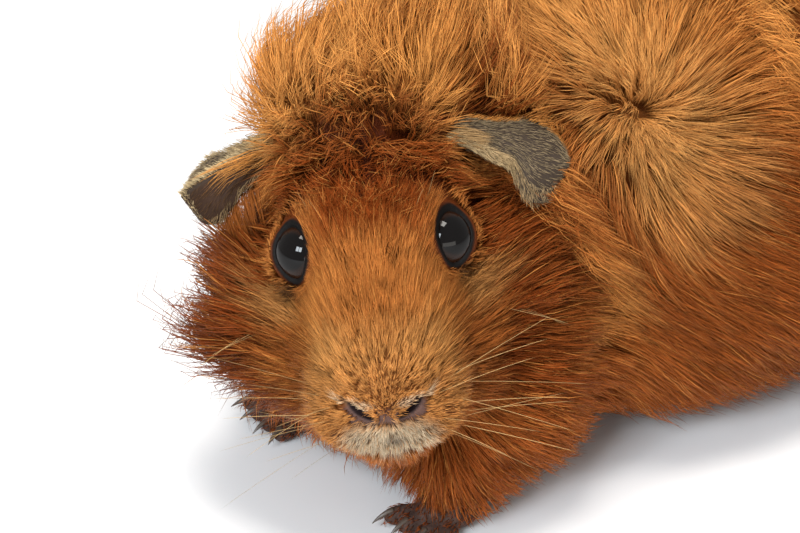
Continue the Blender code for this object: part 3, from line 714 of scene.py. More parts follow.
legs = ("foreleg_left", "foreleg_right", "hindleg_left", "hindleg_right")
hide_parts("head", "neck", "trunk", *legs, "ear_left", "ear_right", *FEET)


# Coat: soft dense hair, 3 mm long on the face and 20 on the back, that grows out of the skin in rosettes. It
# lies away from the partings and back and down over the trunk. It is made as locks of six tufts, each of six
# closed strands, and cut into pieces by place.
STEADY_WAY = np.array((0.0, 1.0, -0.7))  # back and down
STEADY_PULL = 0.12  # how much that counts beside the partings


def swung(ways, normals, angle):
    """The ways turned about the normals by this angle in radians."""
    return ways * np.cos(angle) + np.cross(normals, ways) * np.sin(angle)


def lie_of_coat(points, normals):
    """The way the coat lies at each point, along the skin, and how settled it is, 0 to 1. Each parting
    pushes by (reach / distance)^4, and the settling is the length of the summed push over the sum of
    lengths."""
    total, weight = np.zeros_like(points), np.zeros(len(points))
    for place, reach, twist in PARTINGS:
        away = points - place
        push = (reach / (np.linalg.norm(away, axis=1) + 2.0)) ** 4
        away = unit(away - normals * (away * normals).sum(1, keepdims=True))
        total += swung(away, normals, np.radians(twist)) * push[:, None]
        weight += push
    total += unit(STEADY_WAY - normals * (normals @ STEADY_WAY)[:, None]) * STEADY_PULL
    weight += STEADY_PULL
    total = total - normals * (total * normals).sum(1, keepdims=True)
    return unit(total), np.linalg.norm(total, axis=1) / weight


def unruly(points):
    """1 on the crest and less on the brow, where the hair is shorter and stands every way."""
    h = into_head(points)
    return np.maximum(near(h, (0, 6, 18), (17, 11, 9), 1.5), 0.7 * near(h, (0, -3, 11), (4.5, 4.5, 4), 1.6))


def shadow_share(points):
    """How much darker than its tips the coat is at its roots, 0 to 1: most on the crest and the cheeks."""
    h = into_head(points)
    side = folded(h)
    share = 0.38 + 0.26 * near(h, (0, 0, -2), (27, 26, 30), 1.25)
    share = share + 0.2 * near(h, (0, 4, 16), (16, 11, 8), 1.5)
    share = share + 0.1 * near(side, (19, 4, -14), (10, 14, 17), 1.5)
    return np.clip(share, 0, 0.9)


def coat_depth(points):
    """How far the coat stands out over each root, in millimetres, a little more at the right of the jaw."""
    jaw = near(into_head(points), (-24, -10, -24), (8, 9, 9), 1.5)
    return np.maximum(-masses_distance(points, 1.0), 0.5) * (1 + 0.5 * jaw)


def hair_length(points, depth):
    """Short where the coat is shallow and over twice its depth where it is deep. It is shorter in the
    rosettes, at the nose and by the eyes, and longer on the bridge of the nose and down the right side of
    the head."""
    h = into_head(points)
    length = 1.3 + depth * (1.45 + 0.9 * smooth(depth, 3.0, 7.0))
    from_nose = np.linalg.norm(points - PARTINGS[0][0], axis=1)
    length = length * (0.55 + 0.45 * smooth(from_nose, 2, 22))
    far_side = near(h, (-20, 6, -26), (9, 12, 9), 1.5) + 2.0 * near(h, (-22, 13, 2), (7, 9, 8), 1.5)
    length = length * (1 + 0.4 * near(h, (0, -12, 3), (15, 16, 13), 1.5))
    from_eye = np.minimum(*(np.linalg.norm(points - centre, axis=1) for centre in eye_centres.values()))
    length = length * (0.6 + 0.4 * smooth(from_eye, 8, 11))
    return length * (0.42 + 0.58 * rosette_share(points)) * (1 - 0.4 * unruly(points)) * (1 + 0.25 * far_side)


def grown(roots, rng, steps, lengths, loose):
    """The path of one lock from each root: steps of equal length along the lie of the coat, climbing by the
    curve 1 - (1 - s)^1.8 to its share of the coat's depth, and turned a little at random."""
    depth = coat_depth(roots)
    top = depth * rng.uniform(0.5, 1.05, len(roots)) * (0.75 + 0.25 * rosette_share(roots))
    normals = unit(slopes(root_distance, roots))
    path, here, last = [roots], roots, None
    loose = loose * (1 + 3.0 * unruly(roots))
    sway = rng.normal(0, 1, len(roots)) * loose
    for k in range(steps):
        way, settled_here = lie_of_coat(here, normals)
        if k == 0:  # hair stands up in a ridge where the partings' pushes meet
            top = top * (1 + 0.4 * (1 - smooth(settled_here, 0.2, 0.9)))
        turn = sway + rng.normal(0, 0.5, len(roots)) * loose
        ridge, middle = 1 - smooth(settled_here, 0.2, 0.8), 1 - rosette_share(here)
        turn = turn * (1 + 1.8 * ridge + 6.0 * middle**1.5)
        way = swung(way, normals, turn[:, None])
        wanted = top * (1 - (1 - (k + 1) / steps) ** 1.8)
        climb = np.clip((wanted - root_distance(here)) / (lengths / steps), -0.4, 0.92)[:, None]
        step = way * np.sqrt(1 - climb**2) + normals * climb
        if last is not None:
            step = unit(step + 0.6 * last)
        here = here + step * (lengths / steps)[:, None]
        if k < steps - 1:
            normals = unit(slopes(root_distance, here))
        last = step
        path.append(here)
    return np.stack(path, 1)


def skin_faces():
    """The skin's triangles: corner points, areas and an order that keeps neighbours together."""
    skin.data.calc_loop_triangles()
    corners = np.empty(len(skin.data.loop_triangles) * 3, np.int32)
    skin.data.loop_triangles.foreach_get("vertices", corners)
    corners = points_of(skin)[corners.reshape(-1, 3)]
    middle = corners.mean(1)
    cell = np.floor(middle / 4.0).astype(int)
    snake = np.where(cell[:, 2] % 2 == 0, cell[:, 1], -cell[:, 1])
    back_and_forth = np.where((cell[:, 1] + cell[:, 2]) % 2 == 0, 1, -1)
    order = np.lexsort((middle[:, 0] * back_and_forth, snake, cell[:, 2]))
    corners = corners[order]
    first, second = corners[:, 1] - corners[:, 0], corners[:, 2] - corners[:, 0]
    return corners, np.linalg.norm(np.cross(first, second), axis=1) / 2


def scattered(rng, corners, weights, count):
    """Places over the triangles, evenly spaced along the running total of their weights."""
    total = np.cumsum(weights)
    at = (np.arange(count) + rng.uniform(0.1, 0.9, count)) / count * total[-1]
    chosen = corners[np.minimum(np.searchsorted(total, at), len(corners) - 1)]
    a, b = rng.random(count), rng.random(count)
    over = a + b > 1
    a, b = np.where(over, 1 - a, a)[:, None], np.where(over, 1 - b, b)[:, None]
    return chosen[:, 0] + (chosen[:, 1] - chosen[:, 0]) * a + (chosen[:, 2] - chosen[:, 0]) * b


def lock_density(points):
    """Locks to each square millimetre: most on the face, fewest under the belly and behind."""
    h, b = into_head(points), points - BODY_ORIGIN
    density = np.full(len(points), 0.026)
    seen = smooth(b[:, 0] + 0.35 * b[:, 2], -8, 25) * (1 - smooth(b[:, 1], 8, 40)) * smooth(b[:, 2], 4, 20)
    density = density + 0.075 * seen
    for least, frame_points, place, reach, fade in (
        (0.095, h, (0, 4, -4), (30, 30, 34), 1.3),  # the whole head
        (0.62, h, (0, -14, -7), (12, 16, 17), 1.9),  # muzzle
        (0.15, h, (-15, 22, 16), (9, 12, 13), 1.4),  # right side of the crown
        (0.13, h, (-23, -6, -20), (10, 12, 14), 1.4),  # right cheek
        (0.14, b, (42, -52, 32), (9, 10, 16), 1.4),  # neck behind the left cheek
        (0.22, b, SHOULDER_ROSETTES[0], 6, 1.6),  # left shoulder rosette
    ):
        density = np.maximum(density, least * near(frame_points, place, reach, fade))
    nose = near(h, (0, -31, -12), (6, 5, 5), 1.5)
    density = density * (0.96 + 1.6 * (1 - rosette_share(points)) + 0.35 * nose)
    return density * (0.35 + 0.65 * smooth(b[:, 2], 3, 14))


def on_ear(points):
    """True on the ears beyond their roots."""
    h = into_head(points)
    return (np.abs(h[:, 0]) > 17) & (masses_distance(points) > 0.6) & (h[:, 2] > -12) & (h[:, 1] > 8)


def bare(points, margin=0.5):
    """True where no coat grows: on the lids, in the nostrils and mouth, on the ears and soles."""
    h = into_head(points)
    found = (points[:, 2] < 0.8) | on_ear(points) | ((points[:, 2] < 15) & (masses_distance(points) > 0.7))
    for side in (1, -1):
        mirrored = to_left(h, side)
        close = np.linalg.norm(mirrored - EYE_IN_HEAD, axis=1) < EYE_RADIUS + 4
        found |= close & (lid_angle(mirrored, LID_RIM) < margin)
        found |= ellipsoid_distance(mirrored, *NOSTRIL) < 0.3
    return found | (ellipsoid_distance(h, *MOUTH) < 0.15)


def over_eye(paths):
    """True where a path crosses an eye's opening."""
    found = np.zeros(len(paths), bool)
    for k in range(1, paths.shape[1]):
        h = into_head(paths[:, k])
        for side in (1, -1):
            mirrored = to_left(h, side)
            away = np.linalg.norm(mirrored - EYE_IN_HEAD, axis=1)
            found |= (away < EYE_RADIUS + 9) & (lid_angle(mirrored) < 3.0 - 0.5 * (away - EYE_RADIUS))
    return found


def over_ear(paths):
    """True where a path goes through an ear beyond its root. How far out it may start differs from hair to
    hair."""
    found = np.zeros(len(paths), bool)
    start = 1.0 + 6.0 * ((paths[:, 0] @ np.array((12.98, 78.23, 37.71))) % 1.0)
    for k in range(1, paths.shape[1]):
        h = into_head(paths[:, k])
        for side in (1, -1):
            off = to_left(h, side) - np.array(EAR_ROOT)
            along, across, above = off @ ear_axis, off @ ear_front, off @ ear_up
            found |= (along > start) & (along < 24) & (np.abs(across + 0.5) < 7.5) & (np.abs(above - 4) < 5)
    return found


# Each piece of the coat takes the locks nearest to its own place, in the head's frame or the body's.
HEAD_PIECES = {
    "coat_nose": (0, -26, -6),
    "coat_lips": (0, -26, -26),
    "coat_forehead": (0, -4, 12),
    "coat_crown": (0, 16, 20),
    "coat_cheek_left": (22, 2, -12),
    "coat_cheek_right": (-22, 2, -12),
}
BODY_PIECES = {
    "coat_throat": (22, -84, 30),
    "coat_nape": (-8, -60, 82),
    "coat_neck_left": (38, -54, 52),
    "coat_neck_right": (-34, -54, 52),
    "coat_shoulder_left": (44, -26, 56),
    "coat_withers": (10, -24, 88),
    "coat_shoulder_right": (-44, -20, 50),
    "coat_foreleg_left": (34, -62, 16),
    "coat_foreleg_right": (-26, -68, 16),
    "coat_flank_left": (46, 20, 40),
    "coat_flank_right": (-46, 24, 40),
    "coat_back": (0, 26, 84),
    "coat_haunch_left": (48, 66, 30),
    "coat_haunch_right": (-44, 66, 30),
    "coat_rump": (2, 92, 56),
    "coat_belly": (0, 10, 8),
}
ONE_RING = ("coat_nose", "coat_lips", "coat_forehead")  # short hairs, and all others have two rings
piece_rings = {name: 1 if name in ONE_RING else 2 for name in (*HEAD_PIECES, *BODY_PIECES)}
head_places = out_of_head(np.array(list(HEAD_PIECES.values()), float))
piece_places = np.concatenate([head_places, np.array(list(BODY_PIECES.values()), float) + BODY_ORIGIN])


STRAND_TAPER = (0, 0.3, 0.6, 0.8), (0.8, 1.0, 0.9, 0.7)  # shares of its length, and its thickness there
STRAND_WIDE, STRAND_DEEP = 0.58, 0.5  # its section's radii, across and away from the skin, in widths
PATCH_SIZE = 0.003  # of each strand's patch on the OFBake unwrap


def strand_mesh(name, paths, widths, normals, tones, patches):
    """Closed three-sided strands, a point at the root and at the tip and a ring of three at each place
    between. OFBake holds a patch for each strand at its root's place."""
    count, places = paths.shape[:2]
    rings = places - 2
    ahead = unit(paths[:, 2:] - paths[:, :-2])
    across = unit(np.cross(ahead, normals[:, None, :]))
    over = np.cross(across, ahead)
    s = np.arange(1, rings + 1) / (rings + 1)
    girth = widths[:, None] * np.interp(s, *STRAND_TAPER)[None]
    turns = np.radians((90.0, 210.0, 330.0))[:, None]
    ring = across[:, :, None] * np.cos(turns) * STRAND_WIDE + over[:, :, None] * np.sin(turns) * STRAND_DEEP
    ring = paths[:, 1:-1, None] + girth[:, :, None, None] * ring
    points = np.concatenate([paths[:, :1], ring.reshape(count, rings * 3, 3), paths[:, -1:]], 1)
    each = rings * 3 + 2
    corner, following = np.arange(3), (np.arange(3) + 1) % 3
    last = 1 + (rings - 1) * 3
    root_end = np.stack([np.zeros(3, int), 1 + corner, 1 + following], 1)
    ends = np.concatenate([root_end, np.stack([np.full(3, each - 1), last + following, last + corner], 1)])
    start = (np.arange(count) * each)[:, None, None]
    faces = [(ends + start).reshape(-1, 3)]
    if rings > 1:
        one = np.stack([corner, 3 + corner, 3 + following, following], 1)
        sides = [one + k for k in range(1, last, 3)]
        faces.append((np.concatenate(sides) + start).reshape(-1, 4))
    mesh = new_mesh(name, points.reshape(-1, 3), faces)
    share = np.concatenate([[0.0], np.repeat(s, 3), [1.0]])
    roots, tips = tones
    gradient = share[None, :, None] ** 0.75
    put_colours(mesh, "tone", (roots[:, None] * (1 - gradient) + tips[:, None] * gradient).reshape(-1, 3))
    around = np.concatenate([[0.5], np.tile((0.0, 0.5, 1.0), rings), [0.5]])
    patch = patches[:, None] + PATCH_SIZE * np.stack([around, share], 1)[None]
    layer = mesh.uv_layers.new(name="OFBake")
    corners = np.concatenate([kind.ravel() for kind in faces])
    layer.data.foreach_set("uv", patch.reshape(-1, 2)[corners].astype(np.float32).ravel())
    return mesh


def unwrapped(points, on_head):
    """Each root's place on the skin laid out flat: round the head's middle and down from its crown, or
    round the spine and along it, then stretched to fill the square."""
    if on_head:
        h = into_head(points) - np.array((0, 8.0, -6.0))
        down = np.arctan2(h[:, 2], np.linalg.norm(h[:, :2], axis=1))
        flat = np.stack([np.arctan2(h[:, 0], -h[:, 1]), down], 1)
    else:
        b = points - BODY_ORIGIN
        flat = np.stack([np.arctan2(b[:, 0], b[:, 2] - 40.0) * 40.0, b[:, 1]], 1)
    low, high = flat.min(0), flat.max(0)
    return (flat - low) / (high - low) * 0.996


def spread(rng, roots, count, reach, side, other, rounds):
    """Places at random in a disc round each root, drawn back to the skin along the root's own normal."""
    away = np.sqrt(rng.random((len(roots), count))) * reach[:, None]
    turn = rng.uniform(0, 2 * np.pi, (len(roots), count))
    placed = roots[:, None] + side[:, None] * (away * np.cos(turn))[..., None]
    placed = placed + other[:, None] * (away * np.sin(turn))[..., None]
    normal = np.repeat(np.cross(side, other), count, 0)
    placed = placed.reshape(-1, 3)
    for _ in range(rounds):
        placed = placed - normal * root_distance(placed)[:, None] * 0.95
    return placed


rng = np.random.default_rng(7)
corners, areas = skin_faces()
weights = areas * lock_density(corners.mean(1))
lock_count = int(weights.sum()) // 1
lock_roots = scattered(rng, corners, weights, lock_count)
lock_roots = lock_roots[~bare(lock_roots)]
piece_of = ((lock_roots[:, None] - piece_places[None]) ** 2).sum(2).argmin(1)
TUFTS_PER_LOCK, STRANDS_PER_TUFT = 6, 6
STRANDS_PER_LOCK = TUFTS_PER_LOCK * STRANDS_PER_TUFT
ROOT_DEPTH = 0.3  # how far each strand goes into the skin
coat_pieces = []
for number, (name, rings) in enumerate(piece_rings.items()):
    own, on_head = lock_roots[piece_of == number], name in HEAD_PIECES
    steps, fine = rings + 1, rings == 1
    # each lock: its normal, two ways along the skin and the radius of the skin it covers
    normals = unit(slopes(root_distance, own))
    side = unit(np.cross(normals, np.array((0.3, 0.2, 0.93))))
    other = np.cross(normals, side)
    reach = np.sqrt(1 / (np.pi * lock_density(own)))
    # the tufts of each lock grow from round its root and are drawn together toward their tips
    tuft_roots = spread(rng, own, TUFTS_PER_LOCK, reach * (1.9 if fine else 1.25), side, other, 2)
    lengths = hair_length(tuft_roots, coat_depth(tuft_roots)) * rng.uniform(0.75, 1.15, len(tuft_roots))
    tufts = grown(tuft_roots, rng, steps, lengths, 0.16 if on_head else 0.11)
    together = tufts.reshape(len(own), TUFTS_PER_LOCK, steps + 1, 3)
    s = np.linspace(0, 1, steps + 1)[:, None]
    pull = (0.05 if fine else 0.25) * s**1.6 * rng.uniform(0.3, 1.3, (len(own), 1, 1, 1))
    tufts = (together + (together.mean(1, keepdims=True) - together) * pull).reshape(-1, steps + 1, 3)
    # the strands of each tuft follow it, gather toward its tip, and stray and end each in its own way
    tuft_side, tuft_other = np.repeat(side, TUFTS_PER_LOCK, 0), np.repeat(other, TUFTS_PER_LOCK, 0)
    tuft_reach = np.repeat(reach, TUFTS_PER_LOCK) / np.sqrt(TUFTS_PER_LOCK) * (2.2 if fine else 1.6)
    roots = spread(rng, tuft_roots, STRANDS_PER_TUFT, tuft_reach, tuft_side, tuft_other, 1)
    guides = np.repeat(tufts, STRANDS_PER_TUFT, 0)
    offset = (roots - guides[:, 0])[:, None]
    gather = rng.uniform(0.0, 0.3 if fine else 0.75, (len(roots), 1, 1)) * s**1.1
    stray = (0.05 if on_head else 0.035) * np.repeat(lengths, STRANDS_PER_TUFT) + 0.05
    stray = rng.normal(0, 1, (len(roots), 3))[:, None] * stray[:, None, None]
    stretch = rng.uniform(0.65, 1.1, (len(roots), 1, 1))
    paths = guides[:, :1] + (guides - guides[:, :1]) * stretch + offset * (1 - gather) + stray * s**1.5
    strand_normals = np.repeat(normals, STRANDS_PER_LOCK, 0)
    paths[:, 0] -= ROOT_DEPTH * strand_normals
    paths[..., 2] = np.maximum(paths[..., 2], 0.2)
    # strands that would go through an ear are shortened, and left out if they still do or cross an eye
    short = over_ear(paths)
    paths[short] = paths[short, :1] + 0.45 * (paths[short] - paths[short, :1])
    keep = ~(bare(roots) | over_eye(paths) | over_ear(paths))
    paths, roots, strand_normals = paths[keep], roots[keep], strand_normals[keep]
    spacing = np.repeat(reach, STRANDS_PER_LOCK)[keep] / 6
    widths = (0.075 + 0.3 * spacing) * rng.uniform(0.7, 1.25, len(roots))
    # each lock, tuft and strand has its own shade, and one strand in ten is golden
    shade = np.repeat(rng.normal(1, 0.08, len(own)), TUFTS_PER_LOCK) * rng.normal(1, 0.09, len(tufts))
    shade = np.repeat(shade, STRANDS_PER_TUFT)[keep] * rng.normal(1, 0.15 if on_head else 0.09, len(roots))
    tint = coat_colours(roots) * shade.clip(0.45, 1.6)[:, None]
    tint = mixed(tint, GOLD * 1.15, 0.6 * (rng.random(len(roots)) < 0.1))
    # the roots are darker and redder by the shadow share: painted shade deep in the coat
    root_tint = tint * (1 - shadow_share(roots))[:, None] * np.array((0.95, 0.70, 0.46))
    mesh = strand_mesh(name, paths, widths, strand_normals, (root_tint, tint), unwrapped(roots, on_head))
    coat_pieces.append(new_object(name, mesh))


SHEEN = (1, 0.7, 0.4, 1)
fur, at, principled = new_material("coat", Roughness=0.55, Specular_IOR_Level=0.2, Specular_Tint=SHEEN)
place = at.output(at.node("ShaderNodeTexCoord"), 3)
noise = at.output(at.node("ShaderNodeTexNoise", Vector=place, Scale=260.0, Detail=3.0))
tone = at.output(at.node("ShaderNodeAttribute", {"attribute_name": "tone"}))
(noise * 0.5 + 0.75).tinted(tone).joins(principled, "Base Color")
for piece in coat_pieces:
    piece.data.materials.append(fur)
    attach(piece, "root")


# Ears' hair: short fine hairs, sparse over the dark skin and paler and longer at the rims, that grow out of
# the ear's own skin. The hairs of each ear, like those of the feet and the whiskers below, are one mesh of
# single strands.
def hair_piece(name, paths, widths, normals, tint, root_share, on_head):
    """Strands along these paths as a piece of the coat, their roots this share as bright as their tips, as
    painted shade at the roots.
    """
    tones, patches = (tint * root_share, tint), unwrapped(paths[:, 0], on_head)
    piece = new_object(name, strand_mesh(name, paths, widths, normals, tones, patches))
    piece.data.materials.append(fur)
    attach(piece, "root")


EAR_HAIR = [
    # ears, count, along, share, face, step along, step across, lift, colour, width
    ((1,), 1500, (0.02, 0.97), (-1, 1), 1, 0.07, 0.04, 0.25, linear(138, 120, 94), 0.09),
    ((-1,), 800, (0.02, 0.97), (-1, -0.05), 1, 0.07, 0.04, 0.3, linear(142, 124, 98), 0.09),
    ((-1,), 260, (0.2, 0.97), (0.05, 0.95), 1, 0.08, 0.1, 0.25, linear(86, 62, 42), 0.08),
    ((-1,), 420, (0.3, 0.98), (-0.14, 0.06), 1, 0.05, -0.12, 1.0, linear(206, 182, 140), 0.1),
    ((-1,), 160, (0.2, 0.98), (0.86, 1.0), 1, 0.06, 0.1, 0.5, linear(150, 124, 90), 0.09),
    ((-1,), 60, (0.02, 0.25), (0.2, 1.0), 1, 0.5, 0.25, 4.5, GOLD * 0.95, 0.09),
    ((-1,), 420, (0.0, 0.8), (0.4, 1.0), -1, 0.12, 1.1, 0.6, ORANGE * 0.75, 0.1),
    ((-1,), 200, (0.93, 0.985), (-0.9, 0.9), 1, 0.0, 0.0, 0.7, linear(206, 182, 140), 0.1),
    ((1, -1), 300, (0.05, 0.6), (-0.95, 0.9), -1, 0.09, 0.03, 0.3, linear(110, 88, 66), 0.08),
    ((1,), 800, (0.0, 0.56), (0.66, 1.0), 1, 0.08, 0.12, 0.7, linear(190, 162, 120), 0.09),
    ((-1,), 450, (0.1, 0.98), (-1.0, -0.72), 1, 0.05, -0.2, 0.7, linear(196, 172, 132), 0.1),
    ((-1,), 420, (0.0, 0.4), (-0.9, 0.1), 1, 0.10, -0.3, 1.0, linear(186, 160, 120), 0.1),
    ((1,), 240, (0.58, 0.97), (0.7, 1.0), 1, 0.03, 0.10, 0.4, linear(176, 148, 110), 0.08),
    ((1,), 420, (0.02, 0.9), (-1.0, -0.75), 1, 0.07, -0.2, 0.7, GOLD * 0.9, 0.1),
    ((1,), 260, (-0.02, 0.22), (0.1, 0.95), 1, 0.14, 0.1, 1.2, linear(176, 142, 98), 0.1),
    ((-1,), 200, (-0.02, 0.16), (-0.7, 0.9), 1, 0.14, 0.1, 1.2, PALE, 0.1),
]


def on_ear_surface(along, share, lift, face, side):
    """A place on the upper or the under face of an ear, raised by this many half thicknesses."""
    section = np.sqrt(np.maximum(1 - (2 * along - 1) ** 2, 1e-6))
    through = face * (section * np.sqrt(np.clip(1 - share**2, 0, 1)) + lift)
    return ear_place(along, share, through, section, side)


rng = np.random.default_rng(21)
for side, ear_name in ((1, "coat_ear_left"), (-1, "coat_ear_right")):
    every = []
    for ears, count, along_range, share_range, face, step_along, step_across, lift, tone, girth in EAR_HAIR:
        if side not in ears:
            continue
        along, share = rng.uniform(*along_range, count), rng.uniform(*share_range, count)
        steps = []
        for go in np.linspace(0, 1, 4):
            a = np.clip(along + step_along * go, 0, 0.985)
            x = share + (step_across + 0.06 * share) * go
            steps.append(on_ear_surface(a, x, lift * 1.6 * go**0.8 - 0.15 * (go == 0), face, side))
        path = np.stack(steps, 1)
        path += rng.normal(0, 0.25, (count, 1, 3)) * np.linspace(0, 1, 4)[None, :, None]
        path = path[:, :1] + (path - path[:, :1]) * rng.uniform(0.6, 1.3, (count, 1, 1))
        up = np.tile(head_matrix[:3, :3] @ to_left(ear_up, side) * face, (count, 1))
        tint = np.tile(tone, (count, 1)) * rng.normal(1, 0.22, (count, 1)).clip(0.4, 1.6)
        every.append((path, rng.uniform(0.8, 1.3, count) * girth, up, tint))
    hair_piece(ear_name, *(np.concatenate(group) for group in zip(*every)), 0.6, True)


# Feet: short hair that lies toward the toes over the dark skin of the paws, and grows out of it down to the
# soles' edge.
corners, areas = skin_faces()
middles = corners.mean(1)
facing = unit(np.cross(corners[:, 1] - corners[:, 0], corners[:, 2] - corners[:, 0]))
foot_paths, foot_ups = [], []
for name, (_, _, turn, _) in FEET.items():
    centre = np.array(foot_matrix(name).translation) + (0, -3, 6)
    on_foot = (np.linalg.norm(middles - centre, axis=1) < 24) & (facing[:, 2] > -0.25)
    on_foot &= (middles[:, 2] > 1.2) & (middles[:, 2] < 16) & (masses_distance(middles) > 0.2)
    chosen, up = corners[on_foot], facing[on_foot]
    total = np.cumsum(areas[on_foot])
    count = int(areas[on_foot].sum() * 1.6)
    pick = (np.arange(count) + rng.random(count)) / count * total[-1]
    pick = np.searchsorted(total, pick).clip(0, len(total) - 1)
    roots = (chosen[pick] * rng.dirichlet((1, 1, 1), count)[..., None]).sum(1)
    up = up[pick]
    turn = np.radians(turn)
    ahead = np.array((np.sin(turn), -np.cos(turn), -0.25)) + rng.normal(0, 0.25, (count, 3))
    ahead = unit(ahead - up * (ahead * up).sum(1, keepdims=True))
    long = rng.uniform(1.2, 2.6, count)[:, None]
    middle, tip = roots + ahead * long * 0.5 + up * long * 0.16, roots + ahead * long + up * long * 0.12
    foot_paths.append(np.stack([roots - up * 0.15, middle, tip], 1))
    foot_ups.append(up)
paths, ups = np.concatenate(foot_paths), np.concatenate(foot_ups)
paths[..., 2] = np.maximum(paths[..., 2], 0.25)
tint = np.tile(RUST, (len(paths), 1)) * rng.normal(0.85, 0.2, (len(paths), 1)).clip(0.4, 1.4)
hair_piece("coat_feet", paths, rng.uniform(0.14, 0.22, len(paths)), ups, tint, 0.5, False)


# Whiskers: long stiff pale bristles in four rows on each side of the muzzle, and a few over each eye and on
# each cheek. Each tapers from its root in the skin to a fine tip and droops a little.
bristles = []  # root in the head's frame, way, length
for side in (1, -1):
    for row in range(4):
        for column in range(3):
            root = np.array((7.5 + 1.3 * column + 0.6 * row, -28.5 + 2.4 * column, -13.0 - 3.0 * row))
            root = to_left(root, side) + rng.normal(0, 0.4, 3)
            out = side * (0.95 + 0.25 * rng.random())
            back = -0.35 + 0.35 * column + rng.normal(0, 0.22)
            up = 0.2 - 0.22 * row + rng.normal(0, 0.16)
            bristles.append((root, (out, back, up), rng.uniform(14, 26) + 4.0 * column))
    for i in range(2):
        root = (side * (8.5 + 2 * i), -6.5 + 2.5 * i, 11.5 - i)
        bristles.append((root, (side * 0.35, -0.1 + 0.25 * i, 1.0), rng.uniform(8, 12)))
    for i in range(3):
        root = (side * (18 + i), -4.0 + 2 * i, -13.0 - i)
        bristles.append((root, (side * 0.95, -0.4, -0.05 - 0.1 * i), rng.uniform(14, 20)))
roots, ways, lengths = (np.array(group) for group in zip(*bristles))
ways, lengths = unit(ways)[:, None], lengths[:, None, None] * 0.88
roots = into_head(settled(masses_distance, out_of_head(roots), 3))
t = np.linspace(0, 1, 9)[:, None]
droop = np.array((0, 0.10, -0.16)) * lengths * t**2 * rng.uniform(0.4, 1.3, (len(roots), 1, 1))
paths = roots[:, None] + ways * lengths * t + droop
paths = out_of_head(paths.reshape(-1, 3)).reshape(paths.shape)
ups = np.tile(head_matrix[:3, 2], (len(paths), 1))
tint = np.tile(linear(214, 176, 120), (len(paths), 1)) * rng.uniform(0.35, 1.1, (len(paths), 1))
hair_piece("whiskers", paths, rng.uniform(0.055, 0.09, len(paths)), ups, tint, 0.8, True)


# Eyes: glossy wet balls, nearly black, with a clear bulging cornea over a dark brown iris that shows only
# toward its edge. Each is held in its hollow by the lids.
CORNEA_RADIUS, CORNEA_SHIFT, CORNEA_EDGE = 5.7, 1.3, 0.06  # a smaller ball along the gaze, and its fillet
eye_material, at, principled = new_material("eye", Roughness=0.03, IOR=1.38, Specular_IOR_Level=0.33)
at.output(at.node("ShaderNodeAttribute", {"attribute_name": "tone"})).joins(principled, "Base Color")
points, quads, caps = ball_grid(96, 64)
for name, centre in eye_centres.items():
    toward = points @ (head_matrix[:3, :3] @ to_left(LID_GAZE, 1 if name == "left" else -1))
    cornea = CORNEA_SHIFT * toward + np.sqrt(CORNEA_RADIUS**2 - CORNEA_SHIFT**2 * (1 - toward**2))
    cornea = cornea - EYE_RADIUS
    radii = EYE_RADIUS + CORNEA_EDGE * np.log1p(np.exp(cornea / CORNEA_EDGE))
    ball = new_mesh(f"eyeball_{name}", points * radii[:, None] + centre, [quads, caps])
    off = np.degrees(np.arccos(np.clip(toward, -1, 1)))
    shade = np.tile(linear(9, 7, 7), (len(points), 1))
    shade = mixed(shade, linear(34, 18, 10), smooth(off, 28, 36) * (1 - smooth(off, 46, 52)))
    put_colours(ball, "tone", mixed(shade, linear(14, 12, 12), smooth(off, 48, 54)))
    eyeball = new_object(f"eyeball_{name}", ball)
    eyeball.data.materials.append(eye_material)
    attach(eyeball, "root")
    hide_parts(f"eye_{name}")


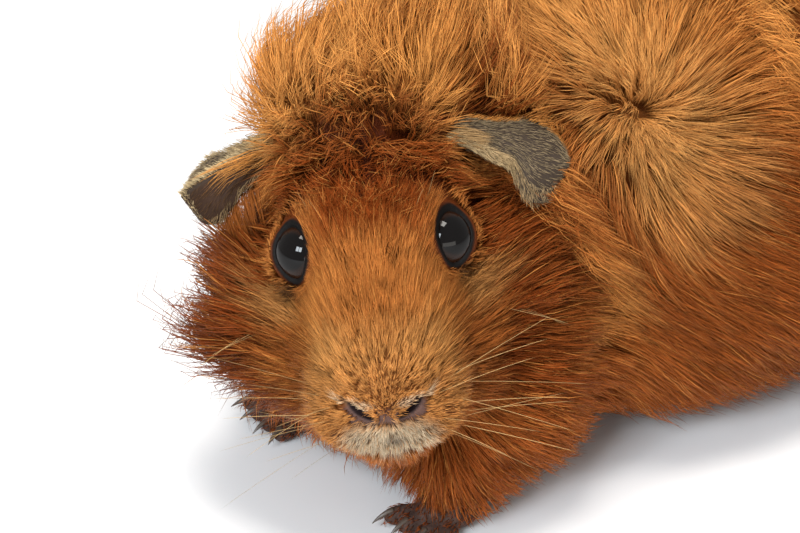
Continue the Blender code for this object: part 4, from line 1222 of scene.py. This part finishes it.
# Claws: dark curved cones of horn, four on each forefoot and three on each hind foot, each fast in the end of
# its toe by its root.
CLAW_LENGTH, CLAW_RADIUS, CLAW_SAG, CLAW_RISE = 6.0, 1.1, 2.4, 1.1
horn, at, principled = new_material("horn", Roughness=0.32)
place = at.output(at.node("ShaderNodeTexCoord"), 3)
streaks = at.output(at.node("ShaderNodeTexNoise", Vector=place, Scale=900.0, Detail=2.0))
(streaks * 0.5 + 0.75).tinted((0.07, 0.05, 0.038, 1)).joins(principled, "Base Color")
points, quads, caps = ball_grid(16, 18)
along = (1 - points[:, 2]) / 2
taper = CLAW_RADIUS * (1 - along) ** 0.62 * np.minimum(1, 0.35 + along * 9)
ring = unit(points * (1, 1, 0))
ring[-2:] = 0
for name in FEET:
    kind, side = name[:4], name.split("_")[1]
    toes, size = (FORE_TOES, 0.8) if kind == "fore" else (HIND_TOES, 1.05)
    for i, (at_toe, turn, length, _) in enumerate(toes):
        ahead = CLAW_LENGTH * size * along + length * 1.36 - 2.0 * size
        rise = ring[:, 1] * size * taper + CLAW_RISE - CLAW_SAG * size * along**2
        nail_points = np.stack([ring[:, 0] * size * 0.8 * taper, -ahead, rise], 1)
        matrix = foot_matrix(name) @ Matrix.Translation(at_toe) @ Matrix.Rotation(np.radians(turn), 4, "Z")
        matrix = np.array(matrix)
        nail_points = nail_points @ matrix[:3, :3].T + matrix[:3, 3]
        nail_name = f"{kind}_{side}_{i + 1}"
        faces = faced([quads, caps], np.linalg.det(matrix[:3, :3]) < 0)
        nail = new_object("nail_" + nail_name, new_mesh("nail_" + nail_name, nail_points, faces))
        nail.data.materials.append(horn)
        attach(nail, "root")
        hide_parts("claw_" + nail_name)


# A plain pale matt floor, a window of two panes to the left of the gaze, a soft light overhead and a low
# one from the right.
CORNERS = ((-1, -1, 0), (1, -1, 0), (1, 1, 0), (-1, 1, 0))
floor = new_object("floor", new_mesh("floor", np.array(CORNERS) * 2500, [np.array([[0, 1, 2, 3]])]))
paper, _, _ = new_material("floor", Roughness=0.9, Base_Color=(0.78, 0.78, 0.79, 1))
floor.data.materials.append(paper)
world = bpy.data.worlds.new("studio")
bpy.context.scene.world = world
world.use_nodes = True
world.node_tree.nodes["Background"].inputs["Color"].default_value = (1.0, 0.98, 0.95, 1)
world.node_tree.nodes["Background"].inputs["Strength"].default_value = 0.55
# Each light: degrees right of the gaze's line and up from it, metres away, width and height, power, colour,
# and how far it is moved sideways.
DAYLIGHT, WARM = (0.86, 0.94, 1.0), (1.0, 0.95, 0.88)
LIGHTS = {
    "pane_left": (-20, 9, 0.9, (0.15, 0.26), 4.2, DAYLIGHT, -0.09),
    "pane_right": (-20, 9, 0.9, (0.15, 0.26), 4.2, DAYLIGHT, 0.09),
    "ceiling": (-5, 55, 0.9, (0.4, 0.3), 7.6, WARM, 0.0),
    "blanket": (25, -24, 0.8, (0.7, 0.2), 1.4, WARM, 0.0),
}
for name, (right, up, distance, size, power, colour, shift) in LIGHTS.items():
    right, up = np.radians(right), np.radians(up)
    way = (toward_camera * np.cos(right) + camera_right * np.sin(right)) * np.cos(up) + camera_up * np.sin(up)
    sideways = unit(np.cross((0, 0, 1), way))
    light = bpy.data.lights.new(name, "AREA")
    light.shape, light.energy, light.color = "RECTANGLE", power, colour
    light.size, light.size_y = size
    lamp = bpy.data.objects.new(name, light)
    bpy.context.scene.collection.objects.link(lamp)
    lamp.location = Vector(eye_middle * MM + way * distance + sideways * shift)
    lamp.rotation_euler = Vector(way).to_track_quat("Z", "Y").to_euler()
bpy.context.scene.view_settings.view_transform = "Standard"
